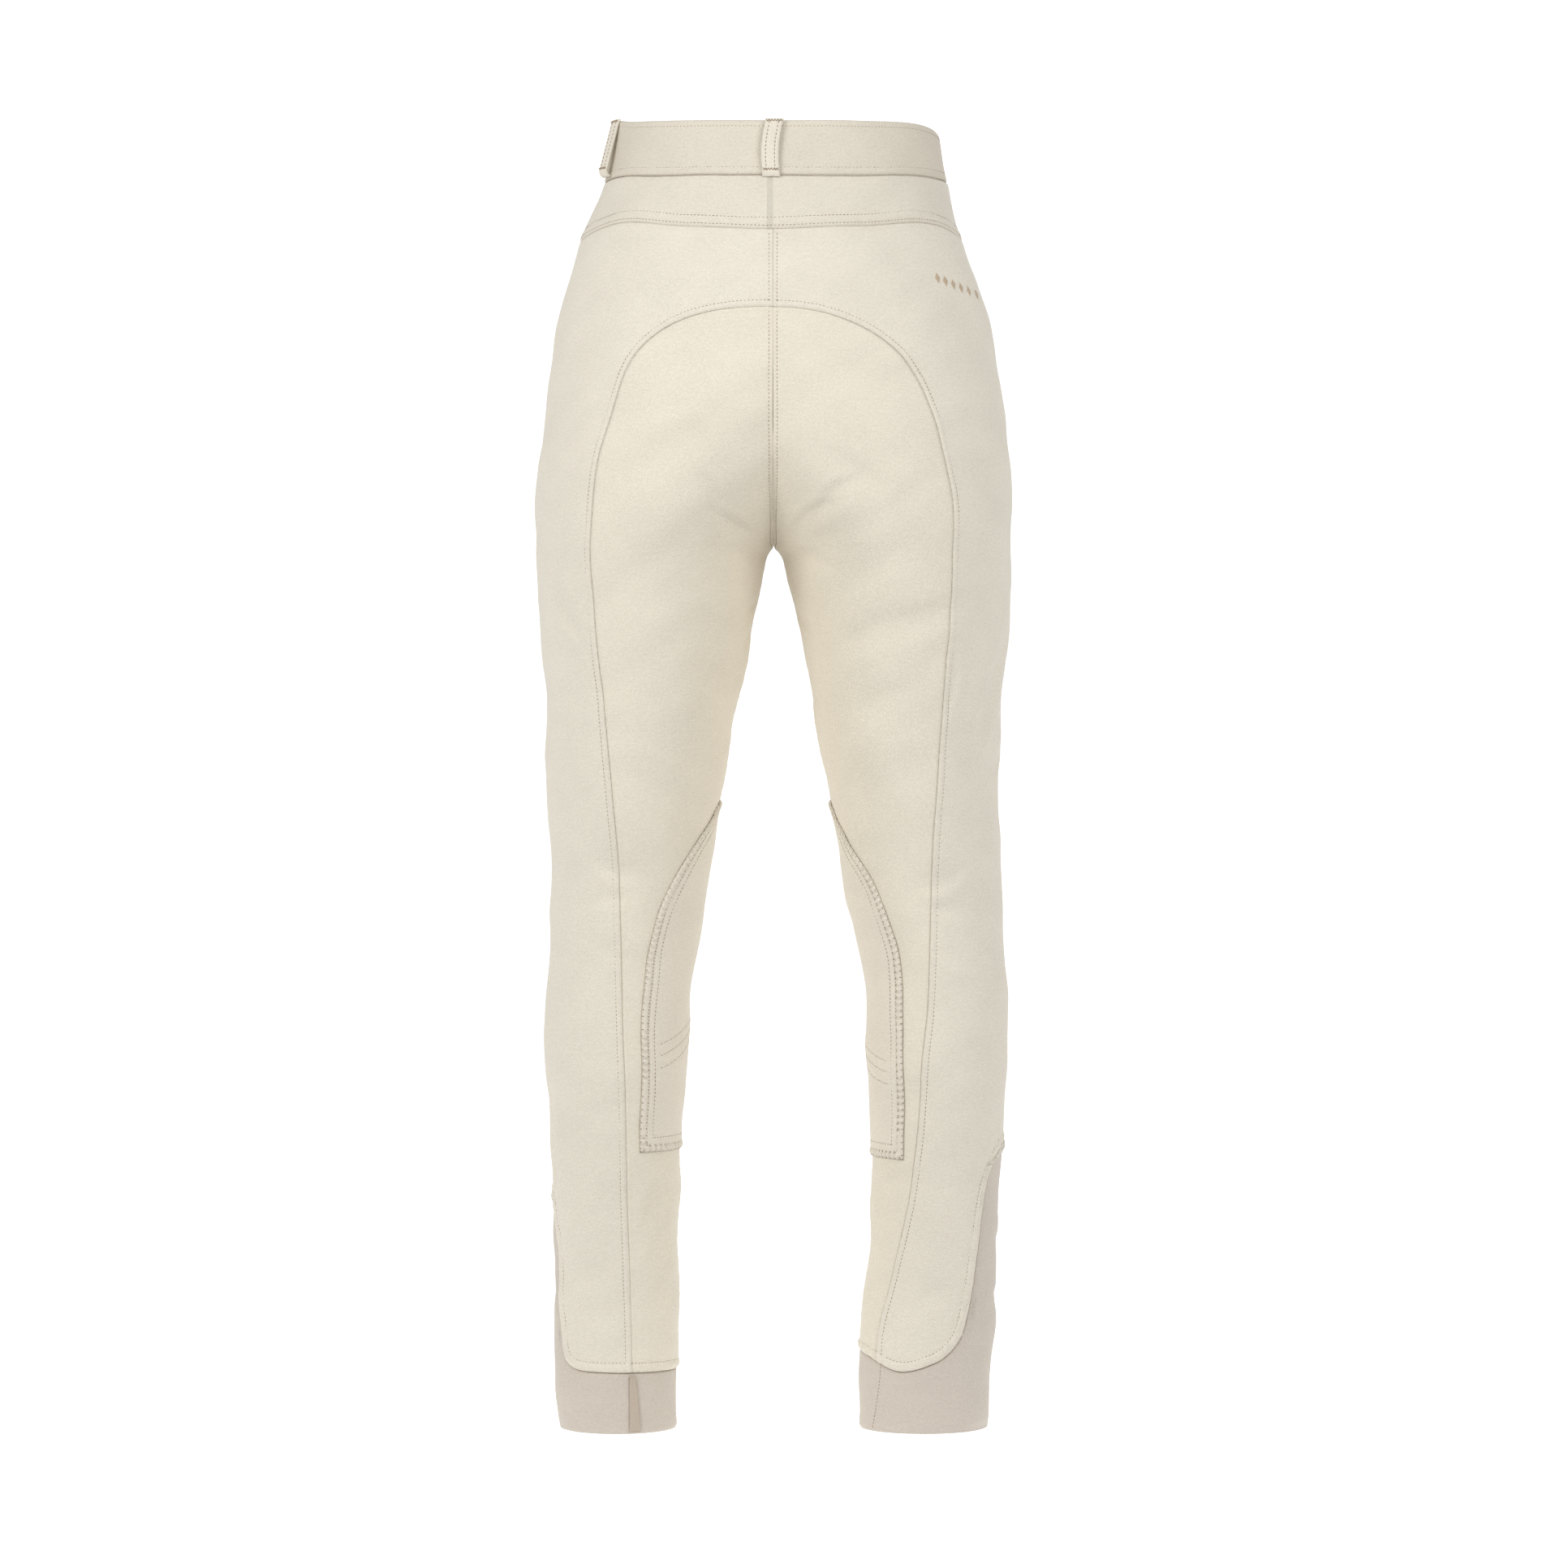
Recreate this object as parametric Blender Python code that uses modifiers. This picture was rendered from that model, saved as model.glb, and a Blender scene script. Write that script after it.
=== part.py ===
"""Full-seat riding breeches with sock cuffs, standing open as if worn.

The garment is cut from flat pieces and sewn edge to edge.  Each piece is one
wall of cloth on a common form: level sections of the hips and of both legs.
The wearer's back faces -Y, the wearer's right is +X and up is +Z.  The origin
is the middle of the waist ring, where the wearer holds the garment up.
"""
import bpy
import bmesh
from collections import namedtuple
from math import acos, cos, degrees, hypot, pi, radians, sin, sqrt
from mathutils import Vector

# ---------------------------------------------------------------- main sizes
SEAM_GAP = 0.0003            # clearance between two pieces at a seam
HALF_GAP = SEAM_GAP / 2
PANEL_WALL = 0.0016          # stretch breeches cloth, one layer
BAND_WALL = 0.0030           # waistband, folded double
PATCH_WALL = 0.0012          # knee patch
CUFF_WALL = 0.0014           # knitted sock cuff
TRIM_WALL = 0.0018           # belt loops and fly flap
TAPE_WALL = 0.0010           # twill tape on the left cuff
LIFT = 0.0006                # clearance under a piece that lies on a panel
SEAM_STRIP = 0.0025          # narrow strip of each panel beside its seams
STEEP_EASE = 2.5             # more clearance where the cuff edge runs up the leg

CROTCH = -0.2806             # height of the crotch point
BACK_FORK = 0.150            # height over which the seat divides into two legs
BACK_FORK_POWER = 1.5
FRONT_FORK = 0.100
FRONT_FORK_POWER = 1.4
SIDE_SEAM = radians(10)      # the side seam runs just ahead of the side
LOW_LEVEL = -0.6600          # below here the rows bend towards the cuff edge
HEM = -0.9305

BAND_RAMP_START = 0.066      # where the band lifts to lap over, from the front seam
BAND_RAMP_END = 0.013
BAND_LAP = 0.036             # length of the band's tab past the front seam
BAND_UNDER = 0.003
BAND_STEP = 0.0036
BAND_ROWS = 2

LOOP_WIDTH = 0.0130
LOOP_BOW = 0.0028            # gap for the belt at the middle of a loop
LOOP_TOP = 0.0196
LOOP_LENGTH = 0.0425
FLY_WIDTH = 0.038
FLY_LENGTH = 0.130
FLY_OVERLAP = 0.004
BUTTON_RADIUS = 0.0085
BUTTON_THICK = 0.0030
BUTTON_SHANK = 0.0030
TAPE_WIDTH = 0.0090
TAPE_ANGLE = radians(-104)
TAPE_TOP = -0.8890
TAPE_LOW = -0.9285

# Level sections.  Distances of each leg's outer and inner side from the middle
# plane, then the rearmost point, the line of the sides and the foremost point.
Section = namedtuple("Section", "height left_out left_in right_in right_out back side front")
SECTIONS = [
    Section(-0.9310, .1596, .0714, .0624, .1584, -.049, -.004, .042),
    Section(-0.8854, .1620, .0702, .0624, .1620, -.048, -.004, .040),
    Section(-0.8314, .1620, .0702, .0672, .1644, -.050, -.005, .040),
    Section(-0.7774, .1626, .0696, .0720, .1662, -.055, -.006, .041),
    Section(-0.7414, .1626, .0696, .0732, .1674, -.060, -.007, .043),
    Section(-0.7054, .1650, .0684, .0720, .1698, -.065, -.008, .046),
    Section(-0.6694, .1674, .0654, .0714, .1722, -.068, -.008, .050),
    Section(-0.6334, .1692, .0642, .0702, .1728, -.067, -.006, .054),
    Section(-0.5974, .1668, .0606, .0678, .1722, -.064, -.003, .058),
    Section(-0.5434, .1638, .0516, .0564, .1686, -.064, .000, .064),
    Section(-0.4894, .1662, .0432, .0462, .1674, -.073, .000, .073),
    Section(-0.4354, .1680, .0336, .0360, .1662, -.082, .000, .080),
    Section(-0.3814, .1686, .0234, .0264, .1704, -.092, .000, .086),
    Section(-0.3274, .1734, .0120, .0162, .1746, -.102, .000, .090),
    Section(-0.2986, .1752, .0076, .0100, .1758, -.110, -.001, .092),
    Section(-0.2880, .1756, .0052, .0062, .1758, -.114, -.002, .093),
    Section(CROTCH, .1758, .0000, .0000, .1758, -.116, -.002, .094),
    Section(-0.2374, .1746, .0000, .0000, .1752, -.127, -.004, .099),
    Section(-0.1894, .1686, .0000, .0000, .1716, -.131, -.005, .103),
    Section(-0.1414, .1632, .0000, .0000, .1638, -.128, -.005, .105),
    Section(-0.1174, .1590, .0000, .0000, .1596, -.124, -.004, .105),
    Section(-0.0934, .1542, .0000, .0000, .1530, -.119, -.003, .104),
    Section(-0.0694, .1458, .0000, .0000, .1430, -.113, -.002, .103),
    Section(-0.0454, .1374, .0000, .0000, .1362, -.107, .000, .101),
    Section(-0.0214, .1285, .0000, .0000, .1300, -.102, .000, .099),
    Section(-0.0070, .1230, .0000, .0000, .1258, -.099, .000, .097),
    Section(0.0280, .1176, .0000, .0000, .1220, -.098, .000, .094),
]

# Seam between the hip piece and the full seat: how far it reaches from the
# middle plane, on each side, at each height.
Reach = namedtuple("Reach", "height left right")
SEAT_SEAM = [
    Reach(-0.8950, .1029, .0750), Reach(-0.8650, .1029, .0760), Reach(-0.8350, .1037, .0813),
    Reach(-0.8050, .1047, .0890), Reach(-0.7750, .1055, .0958), Reach(-0.7450, .1062, .1008),
    Reach(-0.7050, .1065, .1048), Reach(-0.6600, .1078, .1077), Reach(-0.6100, .1093, .1123),
    Reach(-0.5600, .1104, .1138), Reach(-0.5100, .1123, .1152), Reach(-0.4500, .1174, .1189),
    Reach(-0.3900, .1232, .1232), Reach(-0.3300, .1289, .1274), Reach(-0.2850, .1314, .1296),
    Reach(-0.2560, .1301, .1283), Reach(-0.2300, .1253, .1240), Reach(-0.2050, .1203, .1185),
    Reach(-0.1867, .1149, .1131), Reach(-0.1780, .1120, .1096), Reach(-0.1692, .1091, .1054),
    Reach(-0.1606, .1056, .1002), Reach(-0.1520, .1004, .0938), Reach(-0.1437, .0938, .0845),
    Reach(-0.1351, .0848, .0723), Reach(-0.1303, .0768, .0642), Reach(-0.1263, .0669, .0531),
    Reach(-0.1227, .0566, .0439), Reach(-0.1202, .0454, .0341), Reach(-0.1190, .0375, .0240),
    Reach(-0.1182, .0240, .0125), Reach(-0.1178, .0000, .0000),
]
SEAT_TOP = SEAT_SEAM[-1].height

# Heights round the body against the angle from the side: -90 is the middle
# of the back, +90 the middle of the front (and +-180 the inseam on a leg).
Edge = namedtuple("Edge", "angle height")
BAND_TOP = {
    -1: [Edge(-90, .0190), Edge(-60, .0208), Edge(-30, .0252), Edge(-12, .0296), Edge(2, .0300),
         Edge(45, .0180), Edge(90, .0080)],
    1: [Edge(-90, .0190), Edge(-60, .0205), Edge(-30, .0236), Edge(0, .0215), Edge(45, .0140),
        Edge(90, .0080)],
}
BAND_SEAM = [Edge(-90, -.0213), Edge(-60, -.0195), Edge(-30, -.0150), Edge(0, -.0135),
             Edge(45, -.0220), Edge(90, -.0280)]
YOKE_SEAM = [Edge(-90, -.0606), Edge(-64, -.0570), Edge(-37, -.0510), Edge(-5, -.0575),
             Edge(10, -.0590), Edge(90, -.0600)]
CUFF_EDGE = {
    -1: [Edge(-180, -.8871), Edge(-107, -.8858), Edge(-62, -.8850), Edge(-38, -.8780),
         Edge(-28, -.8400), Edge(-21, -.7850), Edge(-8, -.7600), Edge(20, -.7560),
         Edge(60, -.7750), Edge(110, -.8300), Edge(150, -.8760), Edge(180, -.8871)],
    1: [Edge(-180, -.8730), Edge(-150, -.8760), Edge(-113, -.8854), Edge(-85, -.8790),
        Edge(-62, -.8600), Edge(-53, -.8250), Edge(-46, -.7700), Edge(-19, -.7213),
        Edge(10, -.7180), Edge(50, -.7450), Edge(100, -.8150), Edge(145, -.8650),
        Edge(180, -.8730)],
}

# Level rows shared by the seat, hip and front pieces, so their seams match.
LEVELS = [-.0850, SEAT_TOP, -.1198, -.1250, -.1350, -.1520, -.1830, -.2300, -.2640, CROTCH,
          -.2850, -.2960, -.3200, -.3650, -.4150, -.4650, -.5100, -.5600, -.6100, LOW_LEVEL]
LOW_ROWS = 4                 # rows between the last level and the cuff edge

# Knee patch: how far it wraps round the leg from the inseam, in degrees.
Wrap = namedtuple("Wrap", "height left right front")
PATCH = [
    Wrap(-0.7270, 66, 58, 78), Wrap(-0.6535, 66, 58, 80), Wrap(-0.5890, 68, 60, 80),
    Wrap(-0.5530, 64, 57, 76), Wrap(-0.5250, 54, 48, 66), Wrap(-0.5000, 37, 30, 50),
    Wrap(-0.4830, 20, 13, 32), Wrap(-0.4740, 9, 6, 18), Wrap(-0.4690, 0, 0, 0),
]
PATCH_ROWS = [-.4690, -.4740, -.4800, -.4865, -.4940, -.5020, -.5120, -.5250, -.5400, -.5600, -.6100,
              LOW_LEVEL, -.7050, -.7245]

LOOPS = [("belt_loop_back", -1, -90), ("belt_loop_left", -1, -15), ("belt_loop_right", 1, 24),
         ("belt_loop_front_left", -1, 55), ("belt_loop_front_right", 1, 55)]

COLOURS = {
    "twill": (0.78, 0.73, 0.65),
    "seat": (0.79, 0.73, 0.63),
    "patch": (0.72, 0.66, 0.57),
    "knit": (0.61, 0.54, 0.46),
    "tape": (0.48, 0.40, 0.33),
    "button": (0.62, 0.55, 0.46),
}


# ------------------------------------------------------------ smooth tables
def smooth(points, x, level_ends=False):
    """A curve through (x, value) points, sorted by x, that never overshoots."""
    xs = [p[0] for p in points]
    if x <= xs[0]:
        return points[0][1]
    if x >= xs[-1]:
        return points[-1][1]
    i = max(k for k in range(len(xs) - 1) if xs[k] <= x)
    step = [xs[k + 1] - xs[k] for k in range(len(xs) - 1)]
    rise = [(points[k + 1][1] - points[k][1]) / step[k] for k in range(len(step))]

    def slope(k):
        if k in (0, len(step)):
            return 0.0 if level_ends else rise[min(k, len(step) - 1)]
        if rise[k - 1] * rise[k] <= 0:
            return 0.0
        near, far = 2 * step[k] + step[k - 1], step[k] + 2 * step[k - 1]
        return (near + far) / (near / rise[k - 1] + far / rise[k])

    s = (x - xs[i]) / step[i]
    start, end = points[i][1], points[i + 1][1]
    return ((1 + 2 * s) * (1 - s) ** 2 * start + s * (1 - s) ** 2 * step[i] * slope(i)
            + s * s * (3 - 2 * s) * end + s * s * (s - 1) * step[i] * slope(i + 1))


def column(table, key, name):
    return [(getattr(row, key), getattr(row, name)) for row in table]


WAIST_HALF = SECTIONS[-1].left_out
HIP_ROWS_ABOVE_SEAT = 2 + LEVELS.index(SEAT_TOP)
SECTION_COLUMNS = {name: column(SECTIONS, "height", name) for name in Section._fields[1:]}
SEAM_COLUMNS = {-1: column(SEAT_SEAM, "height", "left"), 1: column(SEAT_SEAM, "height", "right")}
PATCH_COLUMNS = {name: column(PATCH, "height", name) for name in Wrap._fields[1:]}


# ------------------------------------------------------------ the worn form
def fork(z, height, power):
    """1 below the crotch, where the legs are whole, falling to 0 above it."""
    part = min(max((z - CROTCH) / height, 0.0), 1.0)
    return (1 - part) ** power


def section(side, z, front):
    """Centre, half width, side line and depth of one half of the body."""
    outer = smooth(SECTION_COLUMNS["left_out" if side < 0 else "right_out"], z)
    inner = smooth(SECTION_COLUMNS["left_in" if side < 0 else "right_in"], z)
    inner = max(inner, HALF_GAP)
    if front:
        divide = fork(z, FRONT_FORK, FRONT_FORK_POWER)
    else:
        divide = fork(z, BACK_FORK, BACK_FORK_POWER)
    half = (outer - inner) / (1 + divide)
    line = smooth(SECTION_COLUMNS["side"], z)
    reach = smooth(SECTION_COLUMNS["front" if front else "back"], z)
    return outer - half, half, line, abs(reach - line), divide


def skin(side, angle, z):
    """Point of the outer face at an angle from the side."""
    centre, half, line, depth, _ = section(side, z, angle > 0)
    return Vector((side * (centre + half * cos(angle)), line + depth * sin(angle), z))


def outward(side, angle, z):
    """Direction straight out of the cloth."""
    step = 0.002
    round_leg = skin(side, angle + step, z) - skin(side, angle - step, z)
    down_leg = skin(side, angle, z - step) - skin(side, angle, z + step)
    return round_leg.cross(down_leg).normalized() * -side


def middle_angle(side, z, front):
    """Angle of the centre seam, or of the inseam below the crotch."""
    _, _, _, depth, divide = section(side, z, front)
    angle = min(acos(-divide), pi - HALF_GAP / depth)
    return angle if front else -angle


def seat_seam_angle(side, z, shift):
    """Angle of the seat seam, shifted up and out (+) or down and in (-)."""
    reach = smooth(SEAM_COLUMNS[side], z - shift) + shift
    if z - shift >= SEAT_TOP:
        return middle_angle(side, z, False)
    centre, half, _, _, _ = section(side, z, False)
    return max(-acos(max(-1, (reach - centre) / half)), middle_angle(side, z, False))


def side_angle(side, z, shift):
    """Angle of the side seam, shifted towards the front (+) or back (-)."""
    _, _, _, depth, _ = section(side, z, True)
    return SIDE_SEAM + shift / depth


def band_top(side, angle):
    return smooth(BAND_TOP[side], degrees(angle), level_ends=True)


def band_seam(angle):
    return smooth(BAND_SEAM, degrees(angle), level_ends=True)


def yoke_seam(angle):
    return smooth(YOKE_SEAM, degrees(angle), level_ends=True)


def cuff_edge(side, angle):
    return smooth(CUFF_EDGE[side], degrees(angle), level_ends=True)


# --------------------------------------------------------------- sewn cloth
def spread(start, end, count, strip):
    """Positions from start to end, with a narrow strip at each end."""
    inner = [strip + (1 - 2 * strip) * k / count for k in range(count + 1)]
    return [start + (end - start) * part for part in [0.0] + inner + [1.0]]


def leg_heights(side, angle):
    """Heights of the shared rows at one angle, from the yoke seam to the cuff."""
    start, low = yoke_seam(angle), cuff_edge(side, angle)
    rows = [start, start - SEAM_STRIP] + LEVELS
    rows += [LOW_LEVEL + (low - LOW_LEVEL) * k / LOW_ROWS for k in range(1, LOW_ROWS)]
    return rows + [low + SEAM_STRIP, low + HALF_GAP]


def hip_heights(side, angle):
    """Rows of the hip piece: its point at the top of the seat is kept clear."""
    rows = leg_heights(side, angle)
    rows[0] -= HALF_GAP
    rows[HIP_ROWS_ABOVE_SEAT] += HALF_GAP
    return rows


def seat_heights(side, angle):
    """Rows of the seat piece, from the top of its arch down."""
    rows = leg_heights(side, angle)[HIP_ROWS_ABOVE_SEAT:]
    rows[0] -= HALF_GAP
    return rows


def front_heights(side, angle):
    """Rows of the front piece, from the waistband down."""
    top, low = band_seam(angle) - HALF_GAP, yoke_seam(angle)
    return [top, top - SEAM_STRIP, (top + low) / 2] + leg_heights(side, angle)


# A panel runs between two seams; each row has the same number of columns.
Panel = namedtuple("Panel", "name side heights start end columns colour")


def hip_panel(side):
    """Hip and outer leg: from the yoke to the cuff, outside the seat seam."""
    return Panel("hip_" + side_name(side), side, hip_heights,
                 lambda z: seat_seam_angle(side, z, HALF_GAP),
                 lambda z: side_angle(side, z, -HALF_GAP), 7, "twill")


def seat_panel(side):
    """Full seat and inner back leg: inside the seat seam, from its top down."""
    return Panel("seat_" + side_name(side), side, seat_heights,
                 lambda z: middle_angle(side, z, False),
                 lambda z: seat_seam_angle(side, z, -HALF_GAP), 6, "seat")


def front_panel(side):
    """Front and inner front leg: from the waistband to the cuff."""
    return Panel("front_" + side_name(side), side, front_heights,
                 lambda z: side_angle(side, z, HALF_GAP),
                 lambda z: middle_angle(side, z, True), 7, "twill")


def settle(panel, row, seam):
    """Angle where a row of a panel meets one of its seams."""
    angle = SIDE_SEAM
    for _ in range(8):
        angle = seam(panel.heights(panel.side, angle)[row])
    return angle


def row_angles(panel, row):
    """Angles of one row of a panel, from its first seam to its second."""
    start, end = settle(panel, row, panel.start), settle(panel, row, panel.end)
    z = panel.heights(panel.side, start)[row]
    _, half, _, depth, _ = section(panel.side, z, False)
    width = abs(end - start) * (half + depth) / 2
    strip = min(SEAM_STRIP / max(width, SEAM_STRIP), 0.12)
    return spread(start, end, panel.columns, strip)


def side_name(side):
    return "left" if side < 0 else "right"


def make_material(name, colour):
    material = bpy.data.materials.new(name)
    material.use_nodes = True
    shader = material.node_tree.nodes["Principled BSDF"]
    shader.inputs["Base Color"].default_value = (*COLOURS[colour], 1)
    shader.inputs["Roughness"].default_value = 0.45 if colour == "button" else 0.85
    shader.inputs["Metallic"].default_value = 0
    return material


def cloth(name, columns, rows, place, wall, colour, axis):
    """A wall of cloth: a grid laid on the form, then given its thickness."""
    bm = bmesh.new()
    bmesh.ops.create_grid(bm, x_segments=columns, y_segments=rows, size=1)
    for vert in bm.verts:
        col = round((vert.co.x + 1) / 2 * columns)
        row = round((1 - vert.co.y) / 2 * rows)
        vert.co = place(col, row)
    bmesh.ops.remove_doubles(bm, verts=bm.verts, dist=0.00002)
    bm.normal_update()
    facing = sum(face.normal.dot(face.calc_center_median() - axis(face.calc_center_median()))
                 for face in bm.faces)
    if facing < 0:
        bmesh.ops.reverse_faces(bm, faces=bm.faces)
    mesh = bpy.data.meshes.new(name)
    bm.to_mesh(mesh)
    bm.free()
    mesh.shade_smooth()
    piece = bpy.data.objects.new(name, mesh)
    bpy.data.collections[COLLECTION].objects.link(piece)
    mesh.materials.append(make_material(name, colour))
    thick = piece.modifiers.new("wall", "SOLIDIFY")
    thick.thickness = wall
    thick.offset = -1
    return piece


def leg_axis(side):
    def axis(point):
        centre, _, line, _, _ = section(side, point.z, False)
        return Vector((side * centre, line, point.z))
    return axis


def body_axis(point):
    return Vector((0, 0, point.z))


def make_panel(panel):
    """One panel, laid on the form between its seams."""
    rows = len(panel.heights(panel.side, 0))
    angles = [row_angles(panel, row) for row in range(rows)]

    def place(col, row):
        angle = angles[row][col]
        return skin(panel.side, angle, panel.heights(panel.side, angle)[row])

    return cloth(panel.name, len(angles[0]) - 1, rows - 1, place, PANEL_WALL, panel.colour,
                 leg_axis(panel.side))


def on_panel(side, angle, z):
    """Point of a panel's outer face, straight between the rows above and below."""
    rows = leg_heights(side, angle)
    low = next(k for k in range(1, len(rows)) if rows[k] <= z or k == len(rows) - 1)
    upper, lower = skin(side, angle, rows[low - 1]), skin(side, angle, rows[low])
    return upper.lerp(lower, (z - upper.z) / (lower.z - upper.z))


def back_ring():
    """Columns round the back, left side seam to right, matching the hip pieces."""
    left = [(-1, angle) for angle in reversed(row_angles(hip_panel(-1), 0))]
    right = [(1, angle) for angle in row_angles(hip_panel(1), 0)]
    return left + right[1:]


def make_yoke():
    """Back yoke in one piece, from side seam to side seam."""
    ring = back_ring()

    def place(col, row):
        side, angle = ring[col]
        top, low = band_seam(angle) - HALF_GAP, yoke_seam(angle) + HALF_GAP
        rows = [top, top - SEAM_STRIP, (top + low) / 2, low + SEAM_STRIP, low]
        return skin(side, angle, rows[row])

    return cloth("back_yoke", len(ring) - 1, 4, place, PANEL_WALL, "twill", body_axis)


def band_step(side, angle):
    """How far the band stands out where its tab laps over the other end."""
    width = WAIST_HALF * (pi / 2 - angle) * side
    part = min(max((BAND_RAMP_START - width) / (BAND_RAMP_START - BAND_RAMP_END), 0.0), 1.0)
    return BAND_STEP * part * part * (3 - 2 * part)


def make_waistband():
    """Waistband in one length, its tab lapping over the other end at the front."""
    fronts = {side: row_angles(front_panel(side), 0) for side in (-1, 1)}
    under = [(1, pi / 2 - BAND_UNDER / WAIST_HALF)]
    left = [(-1, angle) for angle in reversed(fronts[-1])]
    right = [(1, angle) for angle in fronts[1][1:-1]]
    ramp = [(1, pi / 2 - x / WAIST_HALF) for x in (0.045, 0.030, BAND_RAMP_END)]
    right = sorted(right[:-2] + ramp, key=lambda place: place[1])
    tab = [(-1, pi / 2 - BAND_LAP / WAIST_HALF * k / 4) for k in range(5)]
    ring = under + left[:-1] + back_ring() + right + tab
    lap_from = len(under + left[:-1] + back_ring())

    def place(col, row):
        side, angle = ring[col]
        top, low = band_top(side, angle), band_seam(angle) + HALF_GAP
        z = top + (low - top) * row / BAND_ROWS
        step = band_step(side, angle) if col >= lap_from else 0
        return skin(side, angle, z) + outward(side, angle, z) * step

    return cloth("waistband", len(ring) - 1, BAND_ROWS, place, BAND_WALL, "twill", body_axis)


def make_patch(side):
    """Knee patch laid over the inseam side of the knee."""
    back = PATCH_COLUMNS[side_name(side)]
    front = PATCH_COLUMNS["front"]
    columns = 13

    def place(col, row):
        z = PATCH_ROWS[row]
        behind, ahead = radians(smooth(back, z)), radians(smooth(front, z))
        wrap = -behind + (behind + ahead) * col / columns
        angle = -pi - wrap if wrap < 0 else pi - wrap
        return on_panel(side, angle, z) + outward(side, angle, z) * (LIFT + PATCH_WALL)

    return cloth("knee_patch_" + side_name(side), columns, len(PATCH_ROWS) - 1, place,
                 PATCH_WALL, "patch", leg_axis(side))


def make_cuff(side):
    """Knitted sock cuff: a tube open at the edge and at the hem."""
    panels = [seat_panel(side), hip_panel(side), front_panel(side)]
    angles = []
    for panel in panels:
        angles += row_angles(panel, len(panel.heights(side, 0)) - 1)[bool(angles):]
    parts = [0, 0.03, 0.45, 1]
    edge = [cuff_edge(side, angle) for angle in angles]
    _, half, _, depth, _ = section(side, edge[0], False)
    widths = [(b - a) * (half + depth) / 2 for a, b in zip(angles, angles[1:])]
    slopes = [abs(b - a) / width for a, b, width in zip(edge, edge[1:], widths)]
    slopes = [slopes[-1]] + slopes + [slopes[0]]
    steepest = [max(pair) for pair in zip(slopes, slopes[1:])]
    tops = [z + HALF_GAP - SEAM_GAP * hypot(1, STEEP_EASE * slope)
            for z, slope in zip(edge, steepest)]

    def place(col, row):
        col %= len(angles) - 1
        z = tops[col] + (HEM - tops[col]) * parts[row]
        return skin(side, angles[col], z)

    return cloth("cuff_" + side_name(side), len(angles) - 1, len(parts) - 1, place, CUFF_WALL,
                 "knit", leg_axis(side))


def make_loop(name, side, angle_degrees):
    """Belt loop: a folded strip tacked at the band's top edge and at its seam."""
    angle = radians(angle_degrees)
    rows = 6
    across = Vector((0, 0, 1)).cross(outward(side, angle, 0))
    shift = band_top(side, angle) - BAND_TOP[side][0].height

    def place(col, row):
        part = row / rows
        z = LOOP_TOP + shift - LOOP_LENGTH * part
        bow = sin(pi * part) ** 0.7 * LOOP_BOW
        proud = LIFT + TRIM_WALL + (band_step(side, angle) if side > 0 else 0)
        out = outward(side, angle, z) * (bow + proud)
        return skin(side, angle, z) + out + across * LOOP_WIDTH * (col - 0.5)

    return cloth(name, 1, rows, place, TRIM_WALL, "twill", body_axis)


def front_face(x, z):
    """Point of the outer face at the front, at a distance from the middle."""
    side = -1 if x < 0 else 1
    centre, half, line, depth, _ = section(side, z, True)
    return Vector((x, line + depth * sin(acos((abs(x) - centre) / half)), z))


def make_fly():
    """Fly flap: the turned edge of the right front, lapped over the left."""
    columns, rows = 4, 6
    top = band_seam(pi / 2) - SEAM_GAP

    def place(col, row):
        across = col / columns
        x = -FLY_OVERLAP + FLY_WIDTH * across
        curve = 1 - sqrt(1 - 0.92 * across ** 2)
        low = -FLY_LENGTH + FLY_LENGTH * 0.32 * curve
        start = band_seam(pi / 2 - abs(x) / WAIST_HALF) - 2 * SEAM_GAP
        z = start + (top + low - start) * row / rows
        return front_face(x, z) + Vector((0, LIFT + TRIM_WALL, 0))

    return cloth("fly_flap", columns, rows, place, TRIM_WALL, "twill", body_axis)


def make_button():
    """Waist button: a dished disc on a short shank, fastened through the tab."""
    disc = BUTTON_SHANK + BUTTON_THICK
    profile = [(0.0, disc - 0.0006), (0.62, disc - 0.0006), (0.72, disc), (0.90, disc),
               (1.0, disc - 0.0008), (1.0, BUTTON_SHANK + 0.0008), (0.92, BUTTON_SHANK),
               (0.35, BUTTON_SHANK), (0.35, 0.0), (0.0, 0.0)]
    mesh = bpy.data.meshes.new("waist_button")
    verts = [(radius * BUTTON_RADIUS, 0, height) for radius, height in profile]
    mesh.from_pydata(verts, [(k, k + 1) for k in range(len(verts) - 1)], [])
    button = bpy.data.objects.new("waist_button", mesh)
    bpy.data.collections[COLLECTION].objects.link(button)
    turned = button.modifiers.new("turned", "SCREW")
    turned.angle = 2 * pi
    turned.steps = 12
    turned.render_steps = 12
    turned.use_merge_vertices = True
    turned.merge_threshold = 0.00002
    mesh.materials.append(make_material("waist_button", "button"))
    angle = pi / 2 - BAND_LAP / 2 / WAIST_HALF
    z = (band_top(-1, angle) + band_seam(angle)) / 2
    lean = outward(-1, angle, z)
    button.location = skin(-1, angle, z) + lean * (BAND_STEP + LIFT)
    button.rotation_euler = lean.to_track_quat("Z", "Y").to_euler()
    return button


def make_tape():
    """Wedge of twill tape laid on the left cuff beside its back seam."""
    rows = 3

    def place(col, row):
        part = row / rows
        z = TAPE_TOP + (TAPE_LOW - TAPE_TOP) * part
        _, half, _, _, _ = section(-1, z, False)
        width = TAPE_WIDTH * (0.15 + 0.85 * part)
        angle = TAPE_ANGLE - col / 2 * width / half
        return skin(-1, angle, z) + outward(-1, angle, z) * (LIFT + TAPE_WALL)

    return cloth("cuff_tape_left", 2, rows, place, TAPE_WALL, "tape", leg_axis(-1))


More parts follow.
